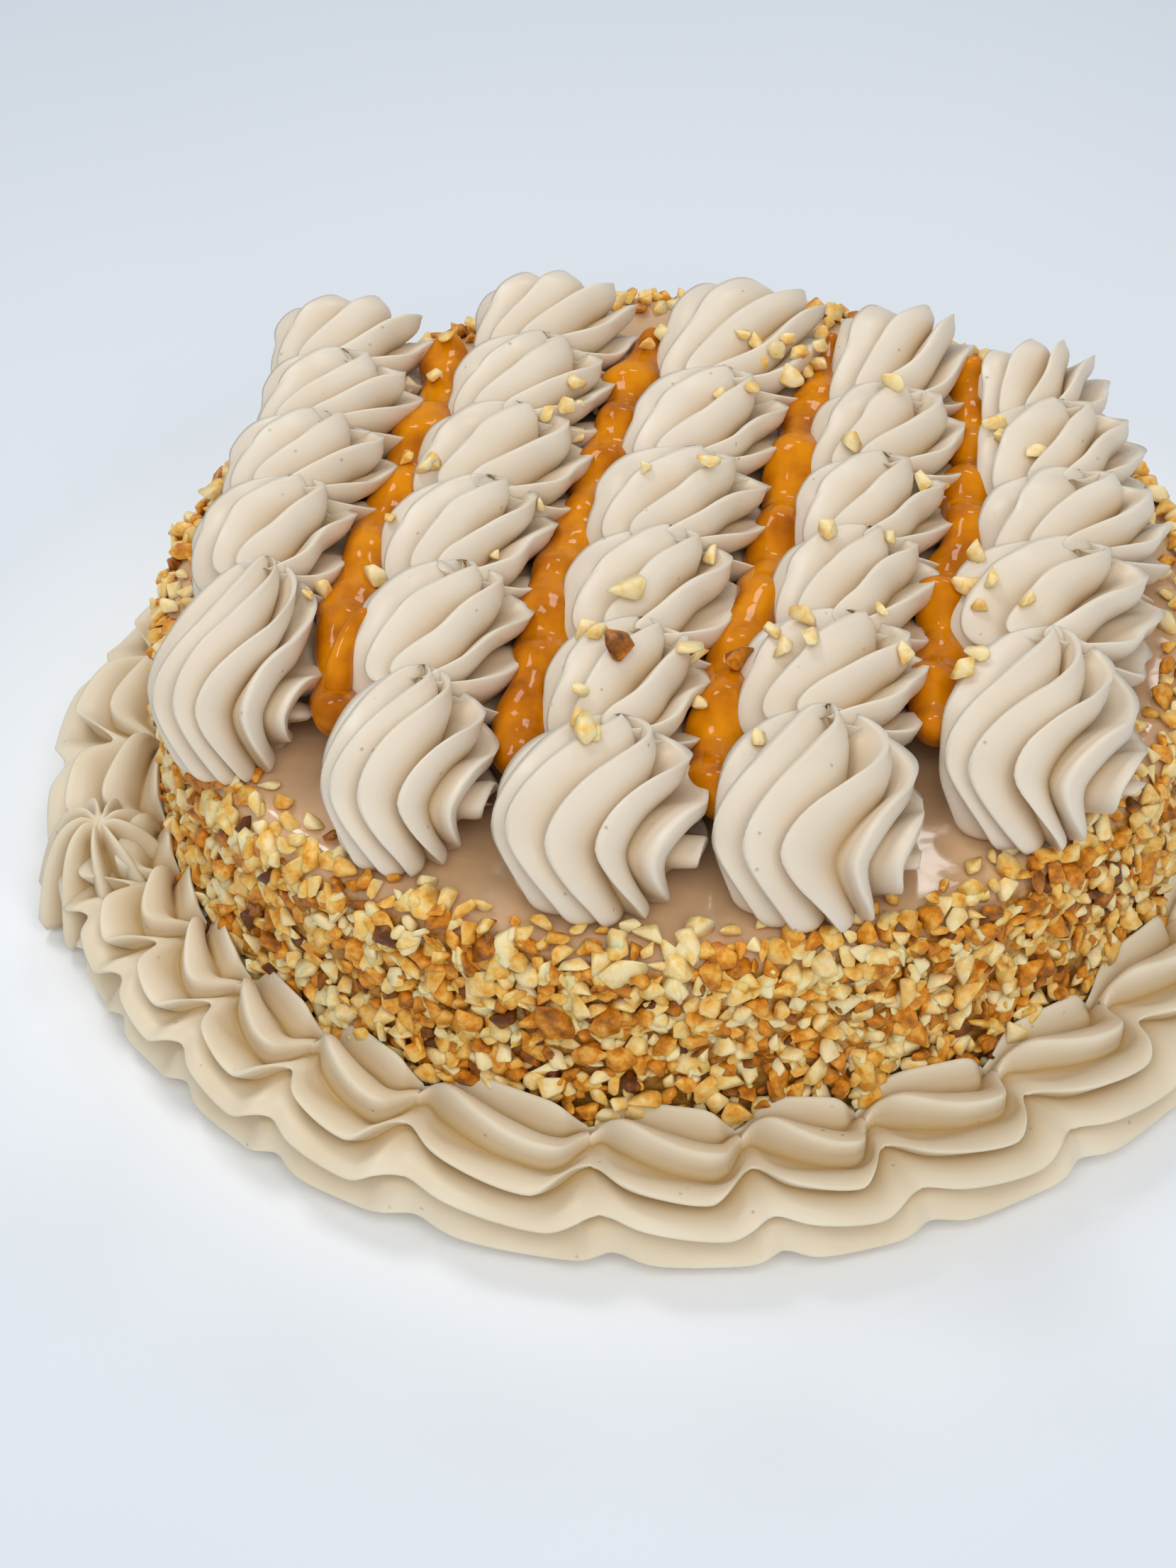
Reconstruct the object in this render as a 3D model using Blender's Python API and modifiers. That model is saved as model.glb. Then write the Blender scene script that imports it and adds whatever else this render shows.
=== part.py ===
"""Hazelnut dacquoise cake: a low round cake with a glazed top and a chopped-nut wall,
five rows of piped cream shells on top, caramel in the valleys between the rows,
and a piped shell border around the foot.

Units are metres, +Z is up, and the cake stands on the plane z = 0.
The rows of shells run along Y, and each was piped from the back (+Y) to the front (-Y).
"""
import math
import random

import bpy
import bmesh
import numpy as np
from mathutils import Vector
from mathutils.bvhtree import BVHTree

MM = 0.001
TURN = 2.0 * math.pi
SEED = 7

# Cake body
CAKE_TOP = 51.5 * MM
GLAZE_RADIUS = 96.0 * MM
SHOULDER_RADIUS = 5.5 * MM
NUT_DEPTH = 2.6 * MM
NUT_BUMP = 6.6 * MM
NUTS_START = 13.0 * MM
WALL_GRAINS = 32
GRAIN_SIZE = 2.5 * MM

# Gap that touching pieces keep
GAP = 0.3 * MM

# Share of a ridge's full depth that its flat facets show
FACET_RELIEF = 0.72

# Rows of shells, left to right: the joints between shells from front to back, in millimetres
ROWS = {
    "swirl_row_1": [(-67, -67.5), (-69, -29.5), (-71, -5.5), (-72, 14.5), (-73.5, 34.5), (-76, 56.5)],
    "swirl_row_2": [(-32, -83.5), (-34, -52.5), (-34.5, -23.5), (-36, 1.5), (-36.5, 24.5), (-37, 47.5),
                    (-38, 72.5)],
    "swirl_row_3": [(2.5, -88), (2, -58), (0, -32.5), (-0.5, -6.5), (-1, 17.5), (-0.5, 43.5), (1.5, 80)],
    "swirl_row_4": [(37, -82.5), (35.5, -48.5), (35, -23.5), (34.5, 0.5), (33.5, 22.5), (32, 44.5), (30, 77)],
    "swirl_row_5": [(68.5, -56.5), (70, -20.5), (71, 4.5), (67.5, 24.5), (62, 45.5), (55, 68)],
}
# The middle x and the width of each shell, in the same order
SHELL_SIZES = {
    "swirl_row_1": [(-68.5, 30.5), (-72.5, 31.5), (-71.5, 34), (-71.5, 33.5), (-75.5, 33)],
    "swirl_row_2": [(-32, 31), (-35.5, 34), (-38, 33.5), (-37, 36), (-37, 33.5), (-37.5, 34.5)],
    "swirl_row_3": [(2.5, 39), (-0.5, 30.5), (-1.5, 34.5), (-1.5, 36), (-1.5, 33.5), (0, 36)],
    "swirl_row_4": [(38.5, 40), (34.5, 35.5), (34, 32), (33.5, 31.5), (33.5, 33.5), (31, 32)],
    "swirl_row_5": [(71, 37.5), (68, 39.5), (70, 37), (64, 36), (58, 29.5)],
}
ROW_CLEARANCE = 1.0 * MM
FRONT_CLEARANCE = 0.2 * MM
CLEARANCE_ROUNDING = 1.0 * MM
FRONT_REACH = 3.0 * MM
FOOT_ROLL = 3.2 * MM
FOOT_FROM = 0.86
SHELL_HEIGHT = 22.0 * MM
JOINT_HEIGHT = 19.6 * MM
FIRST_JOINT_HEIGHT = 9.0 * MM
SHELL_OVERLAP = 2.2 * MM
SHELL_RIDGES = 10
SHELL_STATIONS = (0.03, 0.19, 0.48, 0.79)
FRONT_STATIONS = (0.03, 0.18, 0.42, 0.68, 0.87, 0.985)
ROW_ACROSS = (0.0, 0.76)
ROW_GRAINS = 4

# Base border: joints between its shells, as angles in degrees, where they are known at the front
FRONT_JOINTS = (-154.0, -146.0, -137.5, -127.9, -116.4, -103.9, -86.4, -72.2, -60.3)
BORDER_SHELLS = 27
BORDER_RIDGES = 9
BORDER_TURN = -0.27
BORDER_JOINT_SHIFT = 5.0 * MM
BORDER_PATH_RADIUS = 110.3 * MM
BORDER_AXIS_HEIGHT = 9.0 * MM
BORDER_RISE = 10.6 * MM
BORDER_OUTWARD = 11.6 * MM
BORDER_INNER_RADIUS = 99.1 * MM
NARROW_FROM = 188.0
NARROW_TO = 110.0
NARROW_BLEND = 26.0
NARROW_LOSS = 9.0 * MM
BORDER_LIP = 0.80
BORDER_STATIONS = (0.0, 0.24, 0.62, 0.91)
BORDER_ACROSS = (0.0, 0.80)

# Caramel between the rows: front end and back end of each band, along Y in millimetres
CARAMEL_SPANS = {
    "caramel_band_1": (-60, 51),
    "caramel_band_2": (-62, 62),
    "caramel_band_3": (-66, 67),
    "caramel_band_4": (-41, 61),
}
CARAMEL_WIDTH = 9.0 * MM
CARAMEL_TOP = 14.8 * MM
CARAMEL_DEPTH = 6.5 * MM
CARAMEL_LAYER = 1.5 * MM
CARAMEL_NARROWEST = 0.8 * MM
CARAMEL_CLEARANCE = 0.45 * MM
CARAMEL_STEP = 8.5 * MM


def ease(x):
    """Smooth step from 0 to 1."""
    x = np.clip(x, 0.0, 1.0)
    return x * x * (3.0 - 2.0 * x)


def blunt(x, power):
    """A rounded end: 0 at x = 0 with a steep start, 1 at x = 1."""
    x = np.clip(x, 0.0, 1.0)
    return (1.0 - (1.0 - x) ** power) ** (1.0 / power)


def signed_power(value, power):
    return np.sign(value) * np.abs(value) ** power


def ridge_height(p, hollow, lip):
    """Relief across one ridge: 0 in the crease, 1 on the lip at p = lip.

    A hollow of 1 gives a wide hollow behind the lip, and 0 a full face that slopes up to it.
    """
    rising = np.clip(p / lip, 0.0, 1.0)
    falling = np.clip((p - lip) / (1.0 - lip), 0.0, 1.0)
    full = (1.0 - (1.0 - rising) ** 2.2) * (0.60 + 0.40 * rising)
    rise = hollow * rising ** 1.6 + (1.0 - hollow) * full
    return rise * (1.0 - falling ** 1.8)


class Shell:
    """One piped shell, from its head at the back to its tail at the front."""

    def __init__(self, rng, back, front, middle, width, is_front, is_back):
        run = np.array(front) - np.array(back)
        self.is_back = is_back
        self.is_front = is_front
        self.start = np.array(back) * MM
        self.travel = run / np.hypot(*run)
        self.side = np.array([self.travel[1], -self.travel[0]])
        self.length = float(np.hypot(*run)) * MM + (FRONT_REACH if is_front else SHELL_OVERLAP)
        self.bulge = (middle - 0.5 * (back[0] + front[0])) * MM
        self.width = width * MM
        self.height = SHELL_HEIGHT * rng.uniform(0.97, 1.04)
        self.head = FIRST_JOINT_HEIGHT if is_back else JOINT_HEIGHT
        self.tail = JOINT_HEIGHT - 1.0 * MM
        self.swing = rng.uniform(0.9, 1.1)
        self.phase = rng.random()
        self.wobble = rng.random()
        self.gains = np.array([rng.uniform(0.8, 1.15) for _ in range(SHELL_RIDGES)])
        self.shares = np.array([rng.uniform(0.82, 1.18) for _ in range(SHELL_RIDGES)])

    def section(self, s):
        """Half width, top, bottom and centre height of the section at s."""
        pole = self.head + (self.tail - self.head) * s
        if self.is_front:
            wide = np.where(s < 0.34, blunt(s / 0.34, 2.8), 1.0 - 0.34 * ease((s - 0.46) / 0.54))
            tall = np.where(s < 0.30, blunt(s / 0.30, 1.7), 1.0)
            low = 1.0 + 0.0 * s
        else:
            wide = np.where(s < 0.36, blunt(s / 0.36, 2.8), 1.0 - 0.06 * ease((s - 0.36) / 0.2))
            wide = np.where(s < 0.55, wide, 0.94 * blunt((1.0 - s) / 0.45, 3.6))
            tall = np.where(s < 0.38, blunt(s / 0.38, 1.7), blunt((1.0 - s) / 0.62, 1.7))
            low = blunt(s / 0.5, 4.5) if self.is_back else 1.0 + 0.0 * s
        top = pole + (self.height - pole) * tall
        bottom = pole * (1.0 - low)
        centre = bottom + 0.42 * (top - bottom)
        return 0.5 * self.width * wide, top, bottom, centre

    def drift(self, s):
        """How far the ridges have turned at s, away from where they are half way."""
        if self.is_front:
            turn = -0.45 + 0.95 * ease(s / 0.62) - 0.75 * ease((s - 0.58) / 0.38)
        else:
            turn = -0.55 + 1.15 * s + 0.25 * s ** 6
        return self.swing * turn

    def points(self, stations, across):
        """Grid of points: one row for each station, one column for each place around."""
        s = np.array(stations)[:, None]
        ridge = np.repeat(np.arange(SHELL_RIDGES), len(across))[None, :]
        p = np.tile(np.array(across), SHELL_RIDGES)[None, :]
        edges = np.concatenate([[0.0], np.cumsum(self.shares)]) / self.shares.sum()
        around = edges[ridge] + p * (edges[ridge + 1] - edges[ridge])
        half, top, bottom, centre = self.section(s)
        if self.is_front:
            half = half * (1.0 - 0.16 * ease((s - FOOT_FROM) / (1.0 - FOOT_FROM)))
        turned = TURN * (around - self.phase / SHELL_RIDGES)
        psi = turned - (0.30 if self.is_front else 0.06) * np.sin(turned) + self.drift(s)
        psi = psi + 0.05 * np.sin(TURN * (1.1 * s + self.wobble + 0.37 * ridge))
        hollow = 1.0 - 0.66 * ease((s - 0.06) / 0.30)
        lip = 0.86 - 0.10 * ease((s - 0.25) / 0.6)
        end = ease((s - 0.78) / 0.22)
        relief = ridge_height(p, 0.95 * hollow + (0.0 if self.is_front else 0.35) * end, lip)
        bare = ease((np.cos(psi) + 0.95) / 0.5)
        if self.is_front:
            bare = np.maximum(bare, ease((s - 0.5) / 0.4))
        depth = 0.46 + 0.24 * np.exp(-(s / 0.19) ** 2) + (-0.20 if self.is_front else 0.06) * end
        depth = FACET_RELIEF * depth * self.gains[ridge] * bare
        rho = 1.0 - depth * (1.0 - relief)
        lean = (0.12 - 0.05 * ease((s - 0.3) / 0.5)) * np.exp(-((p - lip) / 0.18) ** 2) * bare
        sine, cosine = np.sin(psi + lean), np.cos(psi + lean)
        flatness = np.where(cosine > 0, 2.0 / 2.15, 2.0 / 3.4)
        side = half * signed_power(sine, flatness) * rho
        rise = np.where(cosine > 0, top - centre, centre - bottom) * signed_power(cosine, flatness) * rho
        if self.is_front:
            along, height = self.bend_down(s, centre, rise)
        else:
            along, height = self.length * s + 0.0 * side, centre + rise
        fan = np.exp(-((s - 0.16) / 0.10) ** 2) * ease((np.cos(psi) + 0.4) / 1.2) * (relief - 0.4)
        along = along - 1.5 * MM * fan
        x = self.start[0] + along * self.travel[0] + side * self.side[0] + self.bulge * np.sin(math.pi * s)
        y = self.start[1] + along * self.travel[1] + side * self.side[1]
        return np.stack([x, y, CAKE_TOP + GAP + np.maximum(height, 0.0)], axis=-1)

    def bend_down(self, s, centre, rise):
        """The front shell turns down onto the cake, so its sections tip forward."""
        flat = 0.26
        tip = 0.5 * math.pi * np.clip((s - flat) / (FOOT_FROM - flat), 0.0, 1.0)
        roll = 0.5 * math.pi * np.clip((s - FOOT_FROM) / (1.0 - FOOT_FROM), 0.0, 1.0)
        axis = 0.42 * self.height
        straight = self.length - axis - 0.50 * self.height
        along = np.where(s < flat, straight * s / flat, straight + axis * np.sin(tip))
        shrink = 1.0 - 0.14 * ease((s - 0.6) / 0.4) - 0.22 * (1.0 - np.cos(roll))
        foot = FOOT_ROLL * np.sin(tip) ** 2 * (1.0 - np.sin(roll))
        height = np.where(s < flat, centre, axis * np.cos(tip)) + rise * np.cos(tip) + foot
        return along + rise * np.sin(tip) * shrink, height


def row_shells(name):
    """The shells of one row, from the front one to the back one."""
    rng = random.Random(SEED + list(ROWS).index(name))
    joints = ROWS[name]
    last = len(joints) - 2
    shells = []
    for k, (middle, width) in enumerate(SHELL_SIZES[name]):
        shells.append(Shell(rng, joints[k + 1], joints[k], middle, width, k == 0, k == last))
    return shells


def row_edge(name, y, direction):
    """X of one edge of a row at y: direction -1 for its left edge and 1 for its right edge."""
    joints = ROWS[name]
    ys = [0.5 * (a[1] + b[1]) * MM for a, b in zip(joints, joints[1:])]
    xs = [(middle + 0.5 * direction * width) * MM for middle, width in SHELL_SIZES[name]]
    return np.interp(y, ys, xs)


def valley(left, right, y):
    """X of the middle of the valley between two rows at y."""
    return 0.5 * (row_edge(left, y, 1) + row_edge(right, y, -1))


def keep_between_rows(name, points):
    """Each row stays on its own side of the valleys beside it, which open up behind the front shells."""
    names = list(ROWS)
    index = names.index(name)
    x, y = points[..., 0], points[..., 1]
    spare = FRONT_CLEARANCE + (ROW_CLEARANCE - FRONT_CLEARANCE) * ease((y + 72.0 * MM) / (14.0 * MM))
    if index > 0:
        low = valley(names[index - 1], name, y) + spare
        x = low + 0.5 * (x - low + np.hypot(x - low, CLEARANCE_ROUNDING))
    if index < len(names) - 1:
        high = valley(name, names[index + 1], y) - spare
        x = high - 0.5 * (high - x + np.hypot(high - x, CLEARANCE_ROUNDING))
    points[..., 0] = x
    return points


def closed_loft(name, points):
    """A solid through a grid of points whose first and last rows shrink to one point each."""
    rows, columns = points.shape[0], points.shape[1]
    verts = [points[0].mean(axis=0)]
    verts += [point for row in points[1:-1] for point in row]
    verts.append(points[-1].mean(axis=0))
    faces = [(0, 1 + (j + 1) % columns, 1 + j) for j in range(columns)]
    for i in range(rows - 3):
        a = 1 + i * columns
        b = a + columns
        faces += [(a + j, a + (j + 1) % columns, b + (j + 1) % columns, b + j) for j in range(columns)]
    a = 1 + (rows - 3) * columns
    faces += [(a + j, a + (j + 1) % columns, len(verts) - 1) for j in range(columns)]
    return mesh_object(name, verts, faces)


def mesh_object(name, verts, faces):
    mesh = bpy.data.meshes.new(name)
    mesh.from_pydata([tuple(float(c) for c in v) for v in verts], [], faces)
    edit = bmesh.new()
    edit.from_mesh(mesh)
    bmesh.ops.triangulate(edit, faces=edit.faces)
    bmesh.ops.recalc_face_normals(edit, faces=edit.faces)
    edit.to_mesh(mesh)
    edit.free()
    return bpy.data.objects.new(name, mesh)


def nut_chip(rng, name, place, size):
    """An angular piece of chopped hazelnut: a jittered icosahedron, stretched one way."""
    edit = bmesh.new()
    bmesh.ops.create_icosphere(edit, subdivisions=1, radius=1.0)
    stretch = (rng.uniform(0.9, 1.5), rng.uniform(0.7, 1.0), rng.uniform(0.6, 0.9))
    spin = rng.uniform(0.0, TURN)
    for vert in edit.verts:
        jitter = [rng.uniform(0.78, 1.22) for _ in range(3)]
        x, y, z = (vert.co[i] * stretch[i] * jitter[i] * size for i in range(3))
        vert.co.x = place[0] + x * math.cos(spin) - y * math.sin(spin)
        vert.co.y = place[1] + x * math.sin(spin) + y * math.cos(spin)
        vert.co.z = place[2] + z
    mesh = bpy.data.meshes.new(name)
    edit.to_mesh(mesh)
    edit.free()
    return bpy.data.objects.new(name, mesh)


def join_by_union(base, others):
    """Fuses the other closed meshes into the base and removes them."""
    group = bpy.data.collections.new(base.name + "_pieces")
    bpy.context.scene.collection.children.link(group)
    for piece in others:
        group.objects.link(piece)
    union = base.modifiers.new("union", "BOOLEAN")
    union.operation = "UNION"
    union.operand_type = "COLLECTION"
    union.collection = group
    union.solver = "MANIFOLD"
    bpy.context.view_layer.update()
    evaluated = base.evaluated_get(bpy.context.evaluated_depsgraph_get())
    joined = bpy.data.meshes.new_from_object(evaluated)
    base.modifiers.clear()
    base.data = joined
    for piece in others:
        bpy.data.objects.remove(piece)
    bpy.data.collections.remove(group)


def keep_largest_body(obj):
    """Drops loose scraps that a union can leave."""
    edit = bmesh.new()
    edit.from_mesh(obj.data)
    edit.verts.ensure_lookup_table()
    unseen = set(edit.verts)
    bodies = []
    while unseen:
        stack = [unseen.pop()]
        body = []
        while stack:
            vert = stack.pop()
            body.append(vert)
            for edge in vert.link_edges:
                other = edge.other_vert(vert)
                if other in unseen:
                    unseen.remove(other)
                    stack.append(other)
        bodies.append(body)
    bodies.sort(key=len)
    for body in bodies[:-1]:
        bmesh.ops.delete(edit, geom=body, context="VERTS")
    edit.to_mesh(obj.data)
    edit.free()


def make_body(rng, parts):
    """The drum: a turned profile with a rounded shoulder, then bumps of nut size on its wall."""
    outline = [(0.0, CAKE_TOP), (GLAZE_RADIUS - SHOULDER_RADIUS, CAKE_TOP)]
    for angle in (30, 62):
        turn = math.radians(angle)
        outline.append((GLAZE_RADIUS - SHOULDER_RADIUS * (1.0 - math.sin(turn)),
                        CAKE_TOP - SHOULDER_RADIUS * (1.0 - math.cos(turn))))
    rows = 4
    top_of_wall = CAKE_TOP - SHOULDER_RADIUS
    for k in range(rows + 1):
        outline.append((GLAZE_RADIUS, top_of_wall + (NUTS_START - top_of_wall) * k / rows))
    outline += [(GLAZE_RADIUS, 0.0), (0.0, 0.0)]
    mesh = bpy.data.meshes.new("cake_body")
    mesh.from_pydata([(r, 0.0, z) for r, z in outline], [(i, i + 1) for i in range(len(outline) - 1)], [])
    body = bpy.data.objects.new("cake_body", mesh)
    parts.objects.link(body)
    screw = body.modifiers.new("turn", "SCREW")
    steps = round(TURN * GLAZE_RADIUS / NUT_BUMP)
    screw.steps = steps
    screw.render_steps = steps
    screw.use_merge_vertices = True
    screw.merge_threshold = 0.05 * MM
    bpy.context.view_layer.update()
    evaluated = body.evaluated_get(bpy.context.evaluated_depsgraph_get())
    turned = bpy.data.meshes.new_from_object(evaluated)
    body.modifiers.clear()
    body.data = turned
    edit = bmesh.new()
    edit.from_mesh(turned)
    for vert in edit.verts:
        radius = math.hypot(vert.co.x, vert.co.y)
        if vert.co.z > NUTS_START - 0.1 * MM and radius > GLAZE_RADIUS - 0.9 * SHOULDER_RADIUS:
            bump = 1.0 + NUT_DEPTH * rng.random() / radius
            vert.co.x *= bump
            vert.co.y *= bump
            vert.co.z += rng.uniform(-0.15, 0.15) * NUT_BUMP * (vert.co.z < CAKE_TOP - 2.0 * MM)
    bmesh.ops.triangulate(edit, faces=edit.faces)
    bmesh.ops.recalc_face_normals(edit, faces=edit.faces)
    edit.to_mesh(turned)
    edit.free()
    join_by_union(body, wall_grains(rng))
    keep_largest_body(body)
    return body


def wall_grains(rng):
    """Larger chips that stand out of the wall and its shoulder, spread by the golden angle."""
    grains = []
    golden = TURN * (1.0 - 1.0 / 1.618034)
    low = NUTS_START + 12.0 * MM
    for k in range(WALL_GRAINS):
        angle = golden * k
        share = (k + 0.5) / WALL_GRAINS
        height = low + (CAKE_TOP - 1.5 * MM - low) * (1.0 - share)
        radius = GLAZE_RADIUS + 1.0 * MM
        if height > CAKE_TOP - SHOULDER_RADIUS:
            radius -= 0.55 * (height - CAKE_TOP + SHOULDER_RADIUS)
        place = (radius * math.cos(angle), radius * math.sin(angle), height)
        grains.append(nut_chip(rng, "grain", place, GRAIN_SIZE * rng.uniform(0.8, 1.15)))
    return grains


def turned_to_meet(before, after, columns_in_ridge):
    """Renumbers the columns of a ring, whole ridges at a time, so that they meet the ring before it."""
    shifts = range(0, len(after), columns_in_ridge)
    rings = [np.roll(after, shift, axis=0) for shift in shifts]
    return min(shifts, key=lambda shift: np.sum((before - rings[shift // columns_in_ridge]) ** 2))


def make_row(rng, name, shells, parts):
    """One row: its shells run into each other at the joints, and a few nut chips lie on them."""
    rings = []
    for shell in reversed(shells):
        stations = FRONT_STATIONS if shell.is_front else SHELL_STATIONS
        points = shell.points(stations, ROW_ACROSS)
        if rings:
            shift = turned_to_meet(rings[-1], points[0], len(ROW_ACROSS))
            points = np.roll(points, shift, axis=1)
        rings.extend(points)
    back_tip = shells[-1].points((0.0,), ROW_ACROSS)[0]
    front_tip = shells[0].points((1.0,), ROW_ACROSS)[0]
    front_tip[:] = front_tip.mean(axis=0)
    row = closed_loft(name, keep_between_rows(name, np.array([back_tip] + rings + [front_tip])))
    grains = []
    for _ in range(ROW_GRAINS):
        shell = rng.choice(shells)
        along = rng.uniform(0.35, 0.75) * shell.length
        offset = rng.uniform(-0.22, 0.22) * shell.width
        x, y = shell.start + along * shell.travel + offset * shell.side
        height = CAKE_TOP + shell.height * (0.93 if shell.is_front else 0.90)
        grains.append(nut_chip(rng, "grain", (x, y, height), GRAIN_SIZE * rng.uniform(0.7, 1.0)))
    parts.objects.link(row)
    join_by_union(row, grains)
    keep_largest_body(row)
    return row


def surface_tree(obj):
    return BVHTree.FromPolygons([v.co for v in obj.data.vertices], [f.vertices for f in obj.data.polygons])


def free_span(left, right, trees, y, height):
    """The free space between two rows around one place of the valley: its lower and upper x."""
    low, high = -1.0, 1.0
    for place in np.linspace(y - CARAMEL_STEP, y + CARAMEL_STEP, 25):
        middle = float(valley(left, right, place))
        for level in np.linspace(height - CARAMEL_LAYER, height + CARAMEL_LAYER, 7):
            start = Vector((middle, place, CAKE_TOP + GAP + level))
            hit_left = trees[0].ray_cast(start, Vector((-1.0, 0.0, 0.0)), 12.0 * MM)[0]
            hit_right = trees[1].ray_cast(start, Vector((1.0, 0.0, 0.0)), 12.0 * MM)[0]
            low = max(low, hit_left.x if hit_left else middle - 12.0 * MM)
            high = min(high, hit_right.x if hit_right else middle + 12.0 * MM)
    return low + CARAMEL_CLEARANCE, high - CARAMEL_CLEARANCE


def caramel_floor(left, right, trees, y, shoulder):
    """How deep the caramel reaches into the valley at y before the rows close in on it."""
    floor = shoulder - CARAMEL_LAYER
    while floor > shoulder - CARAMEL_DEPTH:
        low, high = free_span(left, right, trees, y, floor - CARAMEL_LAYER / 3)
        if high - low < CARAMEL_NARROWEST:
            break
        floor -= CARAMEL_LAYER / 3
    return floor


def make_caramel(rng, name, left, right, trees):
    """A band of thick caramel that fills the valley between two rows and rounds over on top."""
    front, back = (y * MM for y in CARAMEL_SPANS[name])
    steps = math.ceil((back - front) / CARAMEL_STEP)
    sections = []
    for k in range(steps + 1):
        y = front + (back - front) * k / steps
        taper = math.sin(math.pi * min(max(k / steps, 0.02), 0.98)) ** 0.3
        crown = CARAMEL_TOP + rng.uniform(-1.0, 1.0) * MM
        width = CARAMEL_WIDTH * rng.uniform(0.8, 1.05) * taper
        shoulder = crown - 0.8 * MM
        floor = caramel_floor(left, right, trees, y, shoulder)
        flanks = []
        for level in range(4):
            height = shoulder + (floor - shoulder) * level / 3
            low, high = free_span(left, right, trees, y, height)
            half = 0.5 * min(width * (1.0 - 0.1 * level), high - low)
            flanks.append((0.5 * (low + high), half, height))
        ring = [(m - h, z) for m, h, z in reversed(flanks)]
        ring.append((flanks[0][0], crown))
        ring += [(m + h, z) for m, h, z in flanks]
        sections.append([(x, y, CAKE_TOP + GAP + z) for x, z in ring])
    points = np.array(sections)
    return closed_loft(name, np.concatenate([points[:1], points, points[-1:]]))


def border_joints(rng):
    """Angles of the joints between the border's shells, in radians, one more than there are shells."""
    known = [math.radians(a) for a in FRONT_JOINTS]
    rest = BORDER_SHELLS - len(known) + 1
    step = (known[0] + TURN - known[-1]) / rest
    others = [known[-1] + step * (k + rng.uniform(-0.07, 0.07)) for k in range(1, rest)]
    return np.array(known + others + [known[0] + TURN])


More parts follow.
